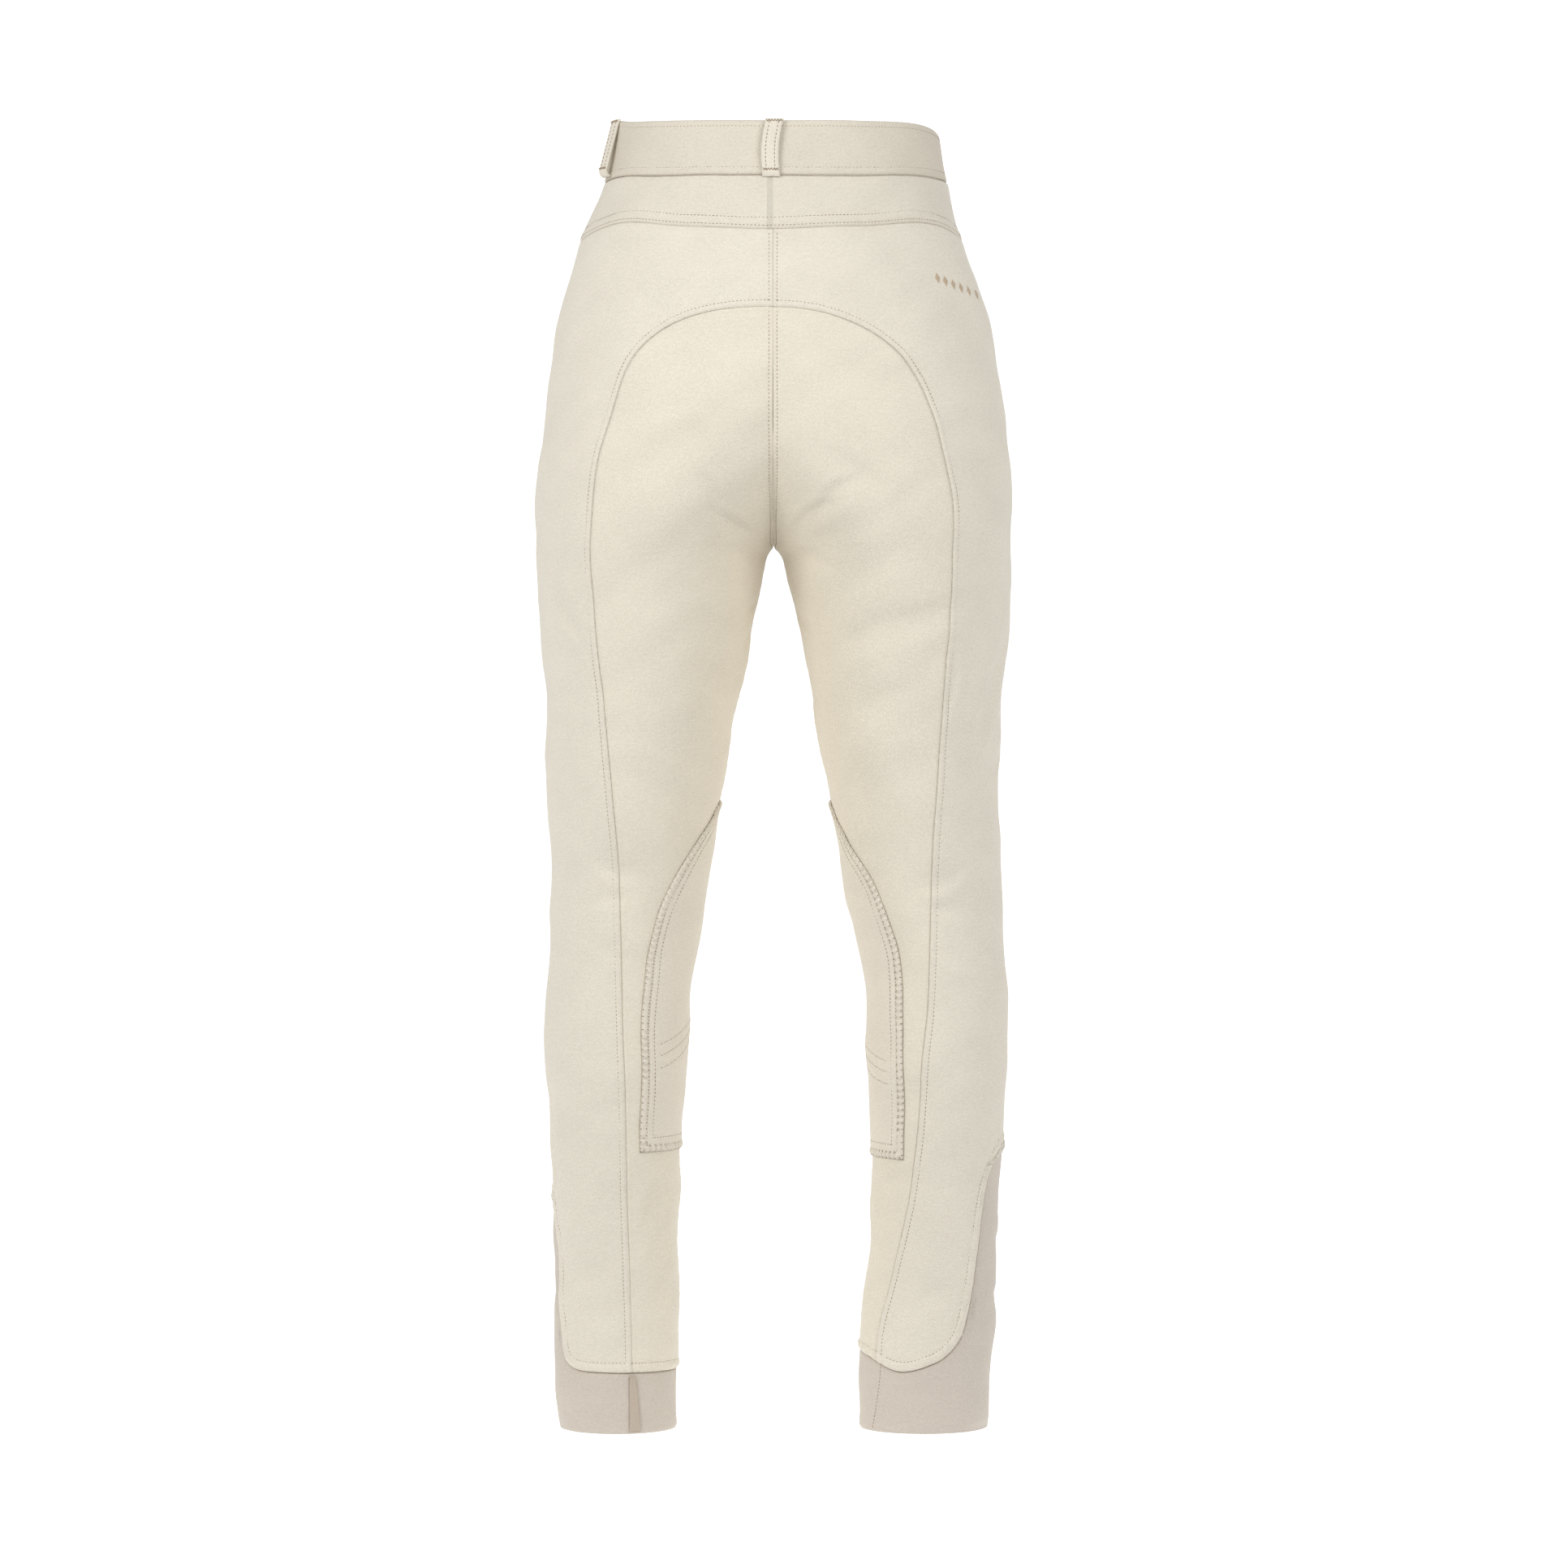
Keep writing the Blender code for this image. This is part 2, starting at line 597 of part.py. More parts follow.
# ------------------------------------------------------------------ assembly
COLLECTION = "riding_breeches"


def build():
    for thing in list(bpy.data.objects):
        bpy.data.objects.remove(thing, do_unlink=True)
    collection = bpy.data.collections.new(COLLECTION)
    bpy.context.scene.collection.children.link(collection)
    make_waistband()
    make_yoke()
    for side in (-1, 1):
        for panel in (hip_panel(side), seat_panel(side), front_panel(side)):
            make_panel(panel)
        make_patch(side)
        make_cuff(side)
    for name, side, angle in LOOPS:
        make_loop(name, side, angle)
    make_fly()
    make_button()
    make_tape()


build()
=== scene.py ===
# %% [markdown]
# # Full-seat riding breeches
# Pale stretch breeches with a back yoke, a grippy full seat, knee patches and
# knitted sock cuffs. They stand open, as if somebody invisible wore them, and
# we look at the back. The garment is sewn from flat pieces, so we make it the
# same way: one shared body form, and every cut piece laid on that form between
# its seams. We begin by loading the hard frame that the pieces must fit.

# %% Load the frame
import bpy
import bmesh
import numpy as np
from collections import namedtuple
from mathutils import Matrix, Vector
from mathutils.kdtree import KDTree


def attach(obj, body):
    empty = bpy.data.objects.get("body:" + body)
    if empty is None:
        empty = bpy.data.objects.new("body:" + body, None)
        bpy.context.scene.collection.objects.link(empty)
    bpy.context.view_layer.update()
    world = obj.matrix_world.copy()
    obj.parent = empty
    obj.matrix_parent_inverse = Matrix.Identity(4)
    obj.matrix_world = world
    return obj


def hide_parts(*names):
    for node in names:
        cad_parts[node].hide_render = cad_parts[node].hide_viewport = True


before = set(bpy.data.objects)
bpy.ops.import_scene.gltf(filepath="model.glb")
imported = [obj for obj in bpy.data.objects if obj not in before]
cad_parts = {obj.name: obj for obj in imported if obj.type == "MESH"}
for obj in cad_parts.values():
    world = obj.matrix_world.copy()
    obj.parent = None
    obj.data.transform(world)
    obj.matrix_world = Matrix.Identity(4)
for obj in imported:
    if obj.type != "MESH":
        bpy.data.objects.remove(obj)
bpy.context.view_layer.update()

FINE = 0.0029   # size of one cell of cloth
PI = np.pi
WALL = {"cloth": 0.0011, "knit": 0.0010, "tape": 0.0007, "patch": 0.0009, "band": 0.0026,
        "loop": 0.0015, "fly": 0.0012}    # thickness of each cloth, in metres


def sided(name, side):
    """The name of a piece that comes as a left and a right."""
    return name + ("_left", "_right")[side > 0]


# %% [markdown]
# ## The worn form
# A tailor's form can be described by level sections, like a boat's hull. For
# each height we write where the outer and inner side of each leg lie, and the
# rearmost and foremost point. A pair of half ellipses through those points is
# one half of the body. Between the rows we draw smooth curves that never
# overshoot, then soften them a little, because cloth bridges small bumps.

# %% Sections of the form
Section = namedtuple("Section", "height left_out left_in right_in right_out back side front")
SECTIONS = [
    Section(-0.9600, .1596, .0714, .0624, .1584, -.049, -.004, .042),
    Section(-0.9310, .1596, .0714, .0624, .1584, -.049, -.004, .042),
    Section(-0.8854, .1620, .0702, .0624, .1620, -.048, -.004, .040),
    Section(-0.8314, .1620, .0702, .0672, .1644, -.050, -.005, .040),
    Section(-0.7774, .1626, .0696, .0720, .1662, -.055, -.006, .041),
    Section(-0.7414, .1626, .0696, .0732, .1674, -.060, -.007, .043),
    Section(-0.7054, .1650, .0684, .0720, .1698, -.065, -.008, .046),
    Section(-0.6694, .1674, .0654, .0714, .1722, -.068, -.008, .050),
    Section(-0.6334, .1692, .0642, .0702, .1728, -.067, -.006, .054),
    Section(-0.5974, .1668, .0606, .0678, .1722, -.064, -.003, .058),
    Section(-0.5434, .1638, .0516, .0564, .1686, -.064, .000, .064),
    Section(-0.4894, .1662, .0432, .0462, .1674, -.073, .000, .073),
    Section(-0.4354, .1680, .0336, .0360, .1662, -.082, .000, .080),
    Section(-0.3814, .1686, .0234, .0264, .1704, -.092, .000, .086),
    Section(-0.3274, .1734, .0120, .0162, .1746, -.102, .000, .090),
    Section(-0.2986, .1752, .0076, .0100, .1758, -.110, -.001, .092),
    Section(-0.2880, .1756, .0052, .0062, .1758, -.114, -.002, .093),
    Section(-0.2806, .1758, .0000, .0000, .1758, -.116, -.002, .094),
    Section(-0.2374, .1746, .0000, .0000, .1752, -.127, -.004, .099),
    Section(-0.1894, .1686, .0000, .0000, .1716, -.131, -.005, .103),
    Section(-0.1414, .1632, .0000, .0000, .1638, -.128, -.005, .105),
    Section(-0.1174, .1590, .0000, .0000, .1596, -.124, -.004, .105),
    Section(-0.0934, .1542, .0000, .0000, .1530, -.119, -.003, .104),
    Section(-0.0694, .1458, .0000, .0000, .1430, -.113, -.002, .103),
    Section(-0.0454, .1374, .0000, .0000, .1362, -.107, .000, .101),
    Section(-0.0214, .1285, .0000, .0000, .1300, -.102, .000, .099),
    Section(-0.0070, .1230, .0000, .0000, .1258, -.099, .000, .097),
    Section(0.0280, .1176, .0000, .0000, .1220, -.098, .000, .094),
    Section(0.0600, .1176, .0000, .0000, .1220, -.098, .000, .094),
]
CROTCH = -0.2806
FORK = {"back": (0.150, 1.5), "front": (0.100, 1.4)}   # height and power of the divide
SEAM_HALF = 0.00003                                    # half the slit at a seam
RULER = np.arange(-0.960, 0.0605, 0.001)


def through(xs, ys, at, level=False):
    """A curve through points that never overshoots; level=True flattens its ends."""
    xs, ys = np.array(xs, float), np.array(ys, float)
    step = np.diff(xs)
    rise = np.diff(ys) / step
    near, far = 2 * step[1:] + step[:-1], step[1:] + 2 * step[:-1]
    with np.errstate(divide="ignore", invalid="ignore"):
        middle = (near + far) / (near / rise[:-1] + far / rise[1:])
    slope = np.zeros(len(xs))
    slope[1:-1] = np.where(rise[:-1] * rise[1:] > 0, middle, 0)
    if not level:
        slope[0], slope[-1] = rise[0], rise[-1]
    at = np.clip(at, xs[0], xs[-1])
    k = np.clip(np.searchsorted(xs, at, side="right") - 1, 0, len(step) - 1)
    s = (at - xs[k]) / step[k]
    return ((1 + 2 * s) * (1 - s) ** 2 * ys[k] + s * (1 - s) ** 2 * step[k] * slope[k]
            + s * s * (3 - 2 * s) * ys[k + 1] + s * s * (s - 1) * step[k] * slope[k + 1])


def softened(values, width):
    """Values one step apart, averaged over a bell of this width in steps."""
    reach = int(3 * width) + 1
    bell = np.exp(-0.5 * (np.arange(-reach, reach + 1) / width) ** 2)
    return np.convolve(np.pad(values, reach, mode="edge"), bell / bell.sum(), mode="valid")


COLUMN = {}
for column in Section._fields[1:]:
    line = through([row.height for row in SECTIONS], [getattr(row, column) for row in SECTIONS], RULER)
    COLUMN[column] = softened(line, 10)
    if column.endswith("_in"):
        near_crotch = np.clip((RULER + 0.33) / 0.03, 0, 1)
        COLUMN[column] += (softened(line, 1.5) - COLUMN[column]) * near_crotch


def section(side, angle, z):
    """Centre, half width, side line and depth of the half ellipse at each point."""
    front = angle > 0
    sizes = {name: np.interp(z, RULER, COLUMN[name]) for name in COLUMN}
    outer = np.where(side < 0, sizes["left_out"], sizes["right_out"])
    inner = np.maximum(np.where(side < 0, sizes["left_in"], sizes["right_in"]), SEAM_HALF)
    height = np.where(front, FORK["front"][0], FORK["back"][0])
    power = np.where(front, FORK["front"][1], FORK["back"][1])
    divide = (1 - np.clip((z - CROTCH) / height, 0, 1)) ** power
    half = (outer - inner) / (1 + divide)
    depth = np.abs(np.where(front, sizes["front"], sizes["back"]) - sizes["side"])
    return outer - half, half, sizes["side"], depth, divide


def form(side, angle, z):
    """Points of the worn form. Angle 0 is the side, -90 the back, 90 the front."""
    side, angle, z = np.broadcast_arrays(side, angle, z)
    angle = (angle + PI) % (2 * PI) - PI
    centre, half, line, depth, _ = section(side, angle, z)
    return np.stack([side * (centre + half * np.cos(angle)), line + depth * np.sin(angle), z], -1)


def facing(side, angle, z):
    """The way the cloth faces at each point of the form."""
    across = form(side, angle + 0.006, z) - form(side, angle - 0.006, z)
    down = form(side, angle, z + 0.0012) - form(side, angle, z - 0.0012)
    out = np.cross(across, down) * np.asarray(side)[..., None]
    return out / np.linalg.norm(out, axis=-1, keepdims=True)


ARC_ANGLES, ARC_HEIGHTS = np.linspace(-PI, PI, 361), np.linspace(-0.95, 0.05, 201)
ARCS = {}
for which in (-1, 1):
    ring = form(which, ARC_ANGLES[None, :], ARC_HEIGHTS[:, None])
    lengths = np.linalg.norm(np.diff(ring, axis=1), axis=-1)
    total = np.concatenate([np.zeros((len(ARC_HEIGHTS), 1)), np.cumsum(lengths, axis=1)], axis=1)
    ARCS[which] = total - total[:, 180:181]


def arc(side, angle, z):
    """Length of cloth round the leg from its side line to each point."""
    side, angle, z = np.broadcast_arrays(side, angle, z)
    turns = np.floor((angle + PI) / (2 * PI))
    a = np.clip((angle - turns * 2 * PI + PI) / (2 * PI) * 360, 0, 359.999)
    h = np.clip((z + 0.95) / 0.005, 0, 199.999)
    i, j = h.astype(int), a.astype(int)
    p, q = h - i, a - j
    result = np.zeros(side.shape)
    for one in (-1, 1):
        t = ARCS[one]
        low = t[i, j] * (1 - q) + t[i, j + 1] * q
        high = t[i + 1, j] * (1 - q) + t[i + 1, j + 1] * q
        girth = t[i, -1] - t[i, 0]
        result = np.where(side == one, low * (1 - p) + high * p + turns * girth, result)
    return result


print("leg is", round(float(arc(-1, PI, -0.54) - arc(-1, -PI, -0.54)), 3), "m round at the knee")

# %% [markdown]
# ## Where the seams run
# Every seam is a path on the form, written as angle and height. The arched
# seam of the full seat is the garment's signature line, so it gets a table of
# its own: how far it reaches from the middle at each height. A Path can be cut
# into even steps of true length, which the stitches and the cloth grids need.

# %% Seam paths
SIDE_SEAM = np.radians(10)
HEM = -0.9305
Reach = namedtuple("Reach", "height left right")
SEAT_SEAM = [
    Reach(-0.1178, .0000, .0000), Reach(-0.1182, .0240, .0125), Reach(-0.1190, .0375, .0240),
    Reach(-0.1202, .0454, .0341), Reach(-0.1227, .0566, .0439), Reach(-0.1263, .0669, .0531),
    Reach(-0.1303, .0768, .0642), Reach(-0.1351, .0848, .0723), Reach(-0.1437, .0938, .0845),
    Reach(-0.1520, .1004, .0938), Reach(-0.1606, .1056, .1002), Reach(-0.1692, .1091, .1054),
    Reach(-0.1780, .1120, .1096), Reach(-0.1867, .1149, .1131), Reach(-0.2050, .1203, .1185),
    Reach(-0.2300, .1253, .1240), Reach(-0.2560, .1301, .1283), Reach(-0.2850, .1314, .1296),
    Reach(-0.3300, .1289, .1274), Reach(-0.3900, .1232, .1232), Reach(-0.4500, .1174, .1189),
    Reach(-0.5100, .1123, .1152), Reach(-0.5600, .1104, .1138), Reach(-0.6100, .1093, .1123),
    Reach(-0.6600, .1078, .1077), Reach(-0.7050, .1065, .1048), Reach(-0.7450, .1062, .1008),
    Reach(-0.7750, .1055, .0958), Reach(-0.8050, .1047, .0890), Reach(-0.8350, .1037, .0813),
    Reach(-0.8650, .1029, .0760), Reach(-0.8950, .1029, .0750),
]
BAND_TOP = {
    -1: [(-90, .0190), (-60, .0208), (-30, .0252), (-12, .0296), (2, .0300), (45, .0180), (90, .0080)],
    1: [(-90, .0190), (-60, .0205), (-30, .0236), (0, .0215), (45, .0140), (90, .0080)],
}
BAND_SEAM = [(-90, -.0213), (-60, -.0195), (-30, -.0150), (0, -.0135), (45, -.0220), (90, -.0280)]
YOKE_SEAM = [(-90, -.0606), (-64, -.0570), (-37, -.0510), (-5, -.0575), (10, -.0590), (90, -.0600)]
CUFF_EDGE = {
    -1: [(-180, -.8871), (-107, -.8858), (-62, -.8850), (-38, -.8780), (-28, -.8400), (-21, -.7850),
         (-8, -.7600), (20, -.7560), (60, -.7750), (110, -.8300), (150, -.8760), (180, -.8871)],
    1: [(-180, -.8730), (-150, -.8760), (-113, -.8854), (-85, -.8790), (-62, -.8600), (-53, -.8250),
        (-46, -.7700), (-19, -.7213), (10, -.7180), (50, -.7450), (100, -.8150), (145, -.8650),
        (180, -.8730)],
}
CUFF_CORNER = {-1: np.radians(-36), 1: np.radians(-64)}


def edge_height(table, angle):
    """Height of a nearly level seam at each angle."""
    return through([row[0] for row in table], [row[1] for row in table],
                   np.degrees(angle), level=True)


def even(path, pitch=None, count=None):
    """The same path in even steps of true length; a path is (side, angles, heights)."""
    side, angle, z = path
    steps = np.linalg.norm(np.diff(form(side, angle, z), axis=0), axis=-1)
    run = np.concatenate([[0], np.cumsum(steps)])
    count = count or max(2, int(round(run[-1] / pitch)) + 1)
    at = np.linspace(0, run[-1], count)
    return side, np.interp(at, run, angle), np.interp(at, run, z)


def spaced(path, shares):
    """Points of a path at these shares of its true length."""
    side, angle, z = even(path, count=3001)
    at = np.asarray(shares) * 3000
    return side, np.interp(at, np.arange(3001), angle), np.interp(at, np.arange(3001), z)


def stations(length, start=True, end=True, pitch=None):
    """Shares of a length: close together beside a seam, wider apart between."""
    pitch = pitch or FINE
    near = np.array([0, .4, .8, 1.3, 1.9, 2.6, 3.3, 4.0, 4.7, 5.4, 6.2, 7.2, 8.5, 10.2]) * 0.001
    first = near if start else np.zeros(1)
    last = length - near[::-1] if end else np.full(1, length)
    count = max(2, int(round((last[0] - first[-1]) / pitch)))
    middle = np.linspace(first[-1], last[0], count + 1)[1:-1]
    return np.concatenate([first, middle, last]) / length


def joined(*paths):
    """Several paths laid end to end."""
    return (paths[0][0], np.concatenate([p[1] for p in paths]),
            np.concatenate([p[2] for p in paths]))


def middle_path(side, front, start):
    """Centre seam from a height down to the crotch."""
    s = np.linspace(1, 0, 500)
    z = CROTCH + (start - CROTCH) * s ** 2
    angle = np.full(500, PI / 2 if front else -PI / 2)
    divide = section(side, angle, z)[4]
    turned = np.arccos(-divide)
    return side, turned if front else -turned, z


def inseam_path(side, front):
    """Inseam from the crotch down to the cuff."""
    low = edge_height(CUFF_EDGE[side], PI)
    z = np.linspace(CROTCH, low, 400)
    return side, np.full(400, PI if front else -PI), z


def arch_path(side):
    """Seam between the hip piece and the full seat, from its top down to the cuff."""
    heights = np.array([row.height for row in SEAT_SEAM])
    reach = np.array([row.left if side < 0 else row.right for row in SEAT_SEAM])
    run = np.concatenate([[0], np.cumsum(np.hypot(np.diff(heights), np.diff(reach)))])
    at = np.arange(0, run[-1], 0.0005)
    reach, heights = through(run, reach, at), through(run, heights, at)
    reach = softened(np.concatenate([-reach[::-1], reach[1:]]), 22)[len(at) - 1:]
    heights = softened(np.concatenate([heights[::-1], heights[1:]]), 22)[len(at) - 1:]
    centre, half, _, _, _ = section(side, np.full(len(at), -PI / 2), heights)
    angle = -np.arccos(np.clip((reach - centre) / half, -1, 1))
    keep = heights > edge_height(CUFF_EDGE[side], angle)
    return side, angle[keep], heights[keep]


def band_top(side, angle):
    """Height of the waistband's top edge, a little higher at the left hip."""
    return np.where(side < 0, edge_height(BAND_TOP[-1], angle), edge_height(BAND_TOP[1], angle))


def level_path(side, table, start, end):
    """Part of a nearly level seam, between two angles."""
    angle = np.linspace(start, end, 500)
    return side, angle, edge_height(table, angle)


def side_path(side, start):
    low = edge_height(CUFF_EDGE[side], SIDE_SEAM)
    return side, np.full(300, SIDE_SEAM), np.linspace(start, low, 300)


YOKE_MIDDLE = YOKE_SEAM[0][1]
SEAMS = {}
for which in (-1, 1):
    arch = arch_path(which)
    SEAMS[which] = {
        "arch": arch,
        "centre_back": middle_path(which, False, YOKE_MIDDLE),
        "centre_front": middle_path(which, True, BAND_SEAM[-1][1]),
        "inseam": inseam_path(which, False),
        "side": side_path(which, edge_height(BAND_SEAM, SIDE_SEAM)),
        "yoke": level_path(which, YOKE_SEAM, -PI / 2, SIDE_SEAM),
        "band": level_path(which, BAND_SEAM, -PI / 2, PI / 2),
        "cuff": level_path(which, CUFF_EDGE[which], -PI, PI),
    }
    length = np.linalg.norm(np.diff(form(*arch), axis=0), axis=-1).sum()
    print("seat seam is", round(float(length), 3), "m long on side", which)

# %% [markdown]
# ## Creases and the hang of the cloth
# Worn cloth is never quite smooth. The biggest creases are listed one by one, each
# a soft trough or ridge from one point to another with its own width, depth
# and bow: drag lines at the crotch, a long fold down the outside of the right
# thigh, slack at the back of the knee and above the cuffs. A slow swell over
# the whole body keeps the broad faces from looking machined.

# %% Crease table
Crease = namedtuple("Crease", "side from_angle from_height to_angle to_height width depth bow")
CREASES = [Crease(*row) for row in (
    # seat and crotch, seen from behind
    (-1, -84, -.205, -62, -.262, .0130, -.0012, .004),
    (-1, -96, -.224, -78, -.200, .0080, -.0011, .002),
    (-1, -120, -.268, -96, -.236, .0048, -.0013, .003),
    (-1, -140, -.276, -112, -.262, .0040, -.0012, -.002),
    (-1, -158, -.286, -128, -.296, .0045, -.0011, .003),
    (-1, -150, -.300, -116, -.318, .0060, -.0008, .004),
    (1, -98, -.222, -82, -.246, .0075, -.0012, -.002),
    (1, -122, -.266, -94, -.240, .0050, -.0013, .004),
    (1, -142, -.276, -108, -.256, .0042, -.0012, .003),
    (1, -160, -.288, -126, -.300, .0048, -.0012, .002),
    (1, -84, -.262, -60, -.240, .0110, -.0009, .004),
    (1, -72, -.190, -60, -.232, .0120, .0007, .003),
    # broad diagonal swells on the thighs
    (1, -128, -.334, -66, -.302, .0120, .0011, .004),
    (1, -130, -.356, -64, -.330, .0090, -.0012, .003),
    (1, -132, -.382, -76, -.352, .0110, .0010, .004),
    (1, -134, -.410, -80, -.388, .0090, -.0009, .004),
    (1, -128, -.446, -84, -.420, .0110, .0007, .003),
    (-1, -66, -.352, -104, -.382, .0110, -.0009, .003),
    (-1, -120, -.420, -76, -.380, .0120, -.0008, .004),
    (-1, -124, -.448, -84, -.430, .0100, .0006, .003),
    # outer thighs
    (-1, -36, -.308, -54, -.352, .0058, -.0020, .004),
    (-1, -28, -.290, -46, -.330, .0070, .0011, .004),
    (-1, -50, -.360, -62, -.420, .0080, .0008, -.003),
    (1, -10, -.344, -40, -.428, .0072, -.0030, -.006),
    (1, -24, -.340, -50, -.418, .0080, .0012, -.006),
    (1, -4, -.430, -30, -.446, .0060, -.0012, .003),
    (1, -64, -.366, -68, -.404, .0045, -.0012, .002),
    (-1, -20, -.430, -46, -.462, .0090, -.0008, .004),
    # drag lines on the inner thighs
    (-1, -176, -.322, -150, -.340, .0030, -.0012, .002),
    (-1, -178, -.374, -146, -.392, .0034, -.0012, .003),
    (-1, -178, -.412, -148, -.438, .0036, -.0013, .003),
    (-1, -176, -.345, -156, -.356, .0030, -.0009, .002),
    (1, -176, -.330, -150, -.352, .0038, -.0012, .003),
    (1, -178, -.392, -150, -.404, .0036, -.0010, .003),
    # back of the knee and calf
    (-1, -66, -.512, -98, -.524, .0060, -.0010, .003),
    (-1, -58, -.548, -92, -.540, .0055, -.0011, -.003),
    (-1, -70, -.572, -104, -.584, .0065, -.0009, .003),
    (1, -60, -.520, -96, -.532, .0060, -.0011, .003),
    (1, -56, -.556, -88, -.548, .0052, -.0011, -.002),
    (1, -52, -.590, -84, -.580, .0060, -.0009, .002),
    (-1, -18, -.680, -22, -.752, .0052, -.0020, .003),
    (-1, -30, -.690, -36, -.748, .0070, .0008, .003),
    # slack below the knee patches and above the cuffs
    (-1, -150, -.748, -122, -.776, .0066, -.0012, .004),
    (-1, -156, -.788, -126, -.806, .0060, -.0011, .004),
    (-1, -160, -.820, -118, -.838, .0070, -.0010, -.003),
    (-1, -92, -.806, -62, -.822, .0080, -.0008, .003),
    (-1, -88, -.850, -58, -.838, .0070, -.0009, .003),
    (1, -168, -.752, -126, -.742, .0060, -.0017, -.003),
    (1, -170, -.792, -134, -.770, .0075, -.0014, .004),
    (1, -166, -.832, -140, -.820, .0070, -.0010, .003),
    (1, -100, -.790, -66, -.800, .0080, -.0007, .003),
    (1, -104, -.838, -72, -.826, .0070, -.0009, .003),
    # the hidden front: crotch, groin, knees and shins
    (-1, 128, -.266, 86, -.226, .0060, -.0018, .004),
    (-1, 150, -.282, 98, -.262, .0055, -.0018, .004),
    (-1, 160, -.300, 104, -.308, .0060, -.0014, -.004),
    (-1, 70, -.236, 30, -.196, .0100, -.0012, .005),
    (1, 130, -.268, 88, -.230, .0058, -.0018, .004),
    (1, 148, -.282, 96, -.266, .0055, -.0018, .003),
    (1, 162, -.302, 108, -.312, .0060, -.0014, -.004),
    (1, 66, -.230, 28, -.190, .0100, -.0012, .005),
    (-1, 60, -.480, 120, -.492, .0080, -.0010, .004),
    (-1, 54, -.640, 118, -.650, .0080, -.0014, .004),
    (-1, 40, -.672, 104, -.690, .0075, -.0012, .004),
    (1, 58, -.484, 118, -.498, .0080, -.0010, .004),
    (1, 50, -.644, 112, -.656, .0080, -.0014, .004),
    (1, 42, -.680, 100, -.700, .0075, -.0012, .004),
    (-1, 50, -.420, 100, -.384, .0120, -.0009, .005),
    (1, 54, -.416, 96, -.378, .0120, -.0009, .005),
    # the knitted cuffs
    (-1, -80, -.902, -40, -.908, .0040, -.0007, .002),
    (1, -120, -.900, -70, -.906, .0042, -.0008, .002),
    (1, -30, -.790, 20, -.800, .0060, -.0012, .003),
    (1, -34, -.840, 24, -.832, .0060, -.0012, .003),
    (-1, -10, -.830, 40, -.822, .0060, -.0012, .003),
    (-1, 60, -.880, 130, -.892, .0060, -.0010, .003),
    (1, 50, -.876, 120, -.888, .0060, -.0010, .003),
)]
Swell = namedtuple("Swell", "x y z phase height")
SWELLS = [Swell(52, 31, 61, 0.4, .00060), Swell(-37, 66, 103, 1.9, .00042), Swell(88, -45, 71, 4.1, .00034),
          Swell(120, 90, -160, 2.2, .00012), Swell(-150, 70, 210, 5.0, .00009)]


def hang(side, angle, z, points):
    """How far the cloth stands off the form through creases and swell, in metres."""
    out = np.zeros(points.shape[:-1])
    for s in SWELLS:
        out += s.height * np.sin(points @ np.array([s.x, s.y, s.z]) + s.phase)
    across = arc(side, angle, z)
    for c in CREASES:
        a0, a1 = np.radians(c.from_angle), np.radians(c.to_angle)
        start = np.array([arc(c.side, a0, c.from_height), c.from_height])
        end = np.array([arc(c.side, a1, c.to_height), c.to_height])
        line = end - start
        length = np.hypot(*line)
        line = line / length
        girth = arc(c.side, PI - 1e-6, z) - arc(c.side, -PI, z)
        near = across - girth * np.round((across - (start[0] + end[0]) / 2) / girth) * (z < CROTCH)
        along = ((near - start[0]) * line[0] + (z - start[1]) * line[1]) / length
        aside = (near - start[0]) * -line[1] + (z - start[1]) * line[0]
        t = np.clip(along, 0, 1)
        aside = aside - c.bow * 4 * t * (1 - t)
        beyond = np.clip(np.abs(along - 0.5) - 0.5, 0, 9) * length
        width = c.width * np.where(aside > 0, 0.75, 1.25) * (0.75 + 0.35 * np.sin(PI * t))
        fade = np.exp(-(beyond / (2.2 * c.width)) ** 2) * (0.25 + 0.75 * np.sin(PI * t) ** 0.7)
        shape = np.exp(-(aside / width) ** 2) - 0.35 * np.exp(-((np.abs(aside) - 2.1 * width) / width) ** 2)
        out += c.depth * shape * fade * (side == c.side)
    return out


print(len(CREASES), "creases, the deepest", max(abs(c.depth) for c in CREASES) * 1000, "mm")

# %% [markdown]
# ## What a seam does to the cloth
# At a seam the cloth rolls down into a ditch, and the allowance folded under
# it makes a soft cord between the seam and its topstitching. The thread pulls
# the cloth in unevenly, so the cord is puckered. We measure each point's
# distance to the seams of its piece, and shape the cloth by that distance.

# %% Seam relief
Edge = namedtuple("Edge", "seam rows dip puff faint")
SEAM_STEP = 0.0008    # spacing of the points that stand for a seam


def tree_of(points):
    """A search tree that finds the nearest of these points."""
    tree = KDTree(len(points))
    for k, point in enumerate(points):
        tree.insert(point, k)
    tree.balance()
    return tree


SEAM_TREES = {}
for which in (-1, 1):
    for name, path in SEAMS[which].items():
        SEAM_TREES[which, name] = tree_of(form(*even(path, pitch=SEAM_STEP)))


def distance_to(tree, points):
    """Distance from each point to a seam, and how far along the seam that is."""
    flat = points.reshape(-1, 3)
    found = [tree.find(point)[1:] for point in flat.tolist()]
    index = np.array([f[0] for f in found]).reshape(points.shape[:-1])
    gap = np.array([f[1] for f in found]).reshape(points.shape[:-1])
    return np.sqrt(np.maximum(gap ** 2 - 0.0002 ** 2, 0)), index * SEAM_STEP


def pucker(run):
    """An uneven ripple along a seam, from -1 to 1."""
    drift = 1.7 * np.sin(2 * PI * run / 0.043) + np.sin(2 * PI * run / 0.019)
    return np.sin(2 * PI * run / 0.0086 + drift)


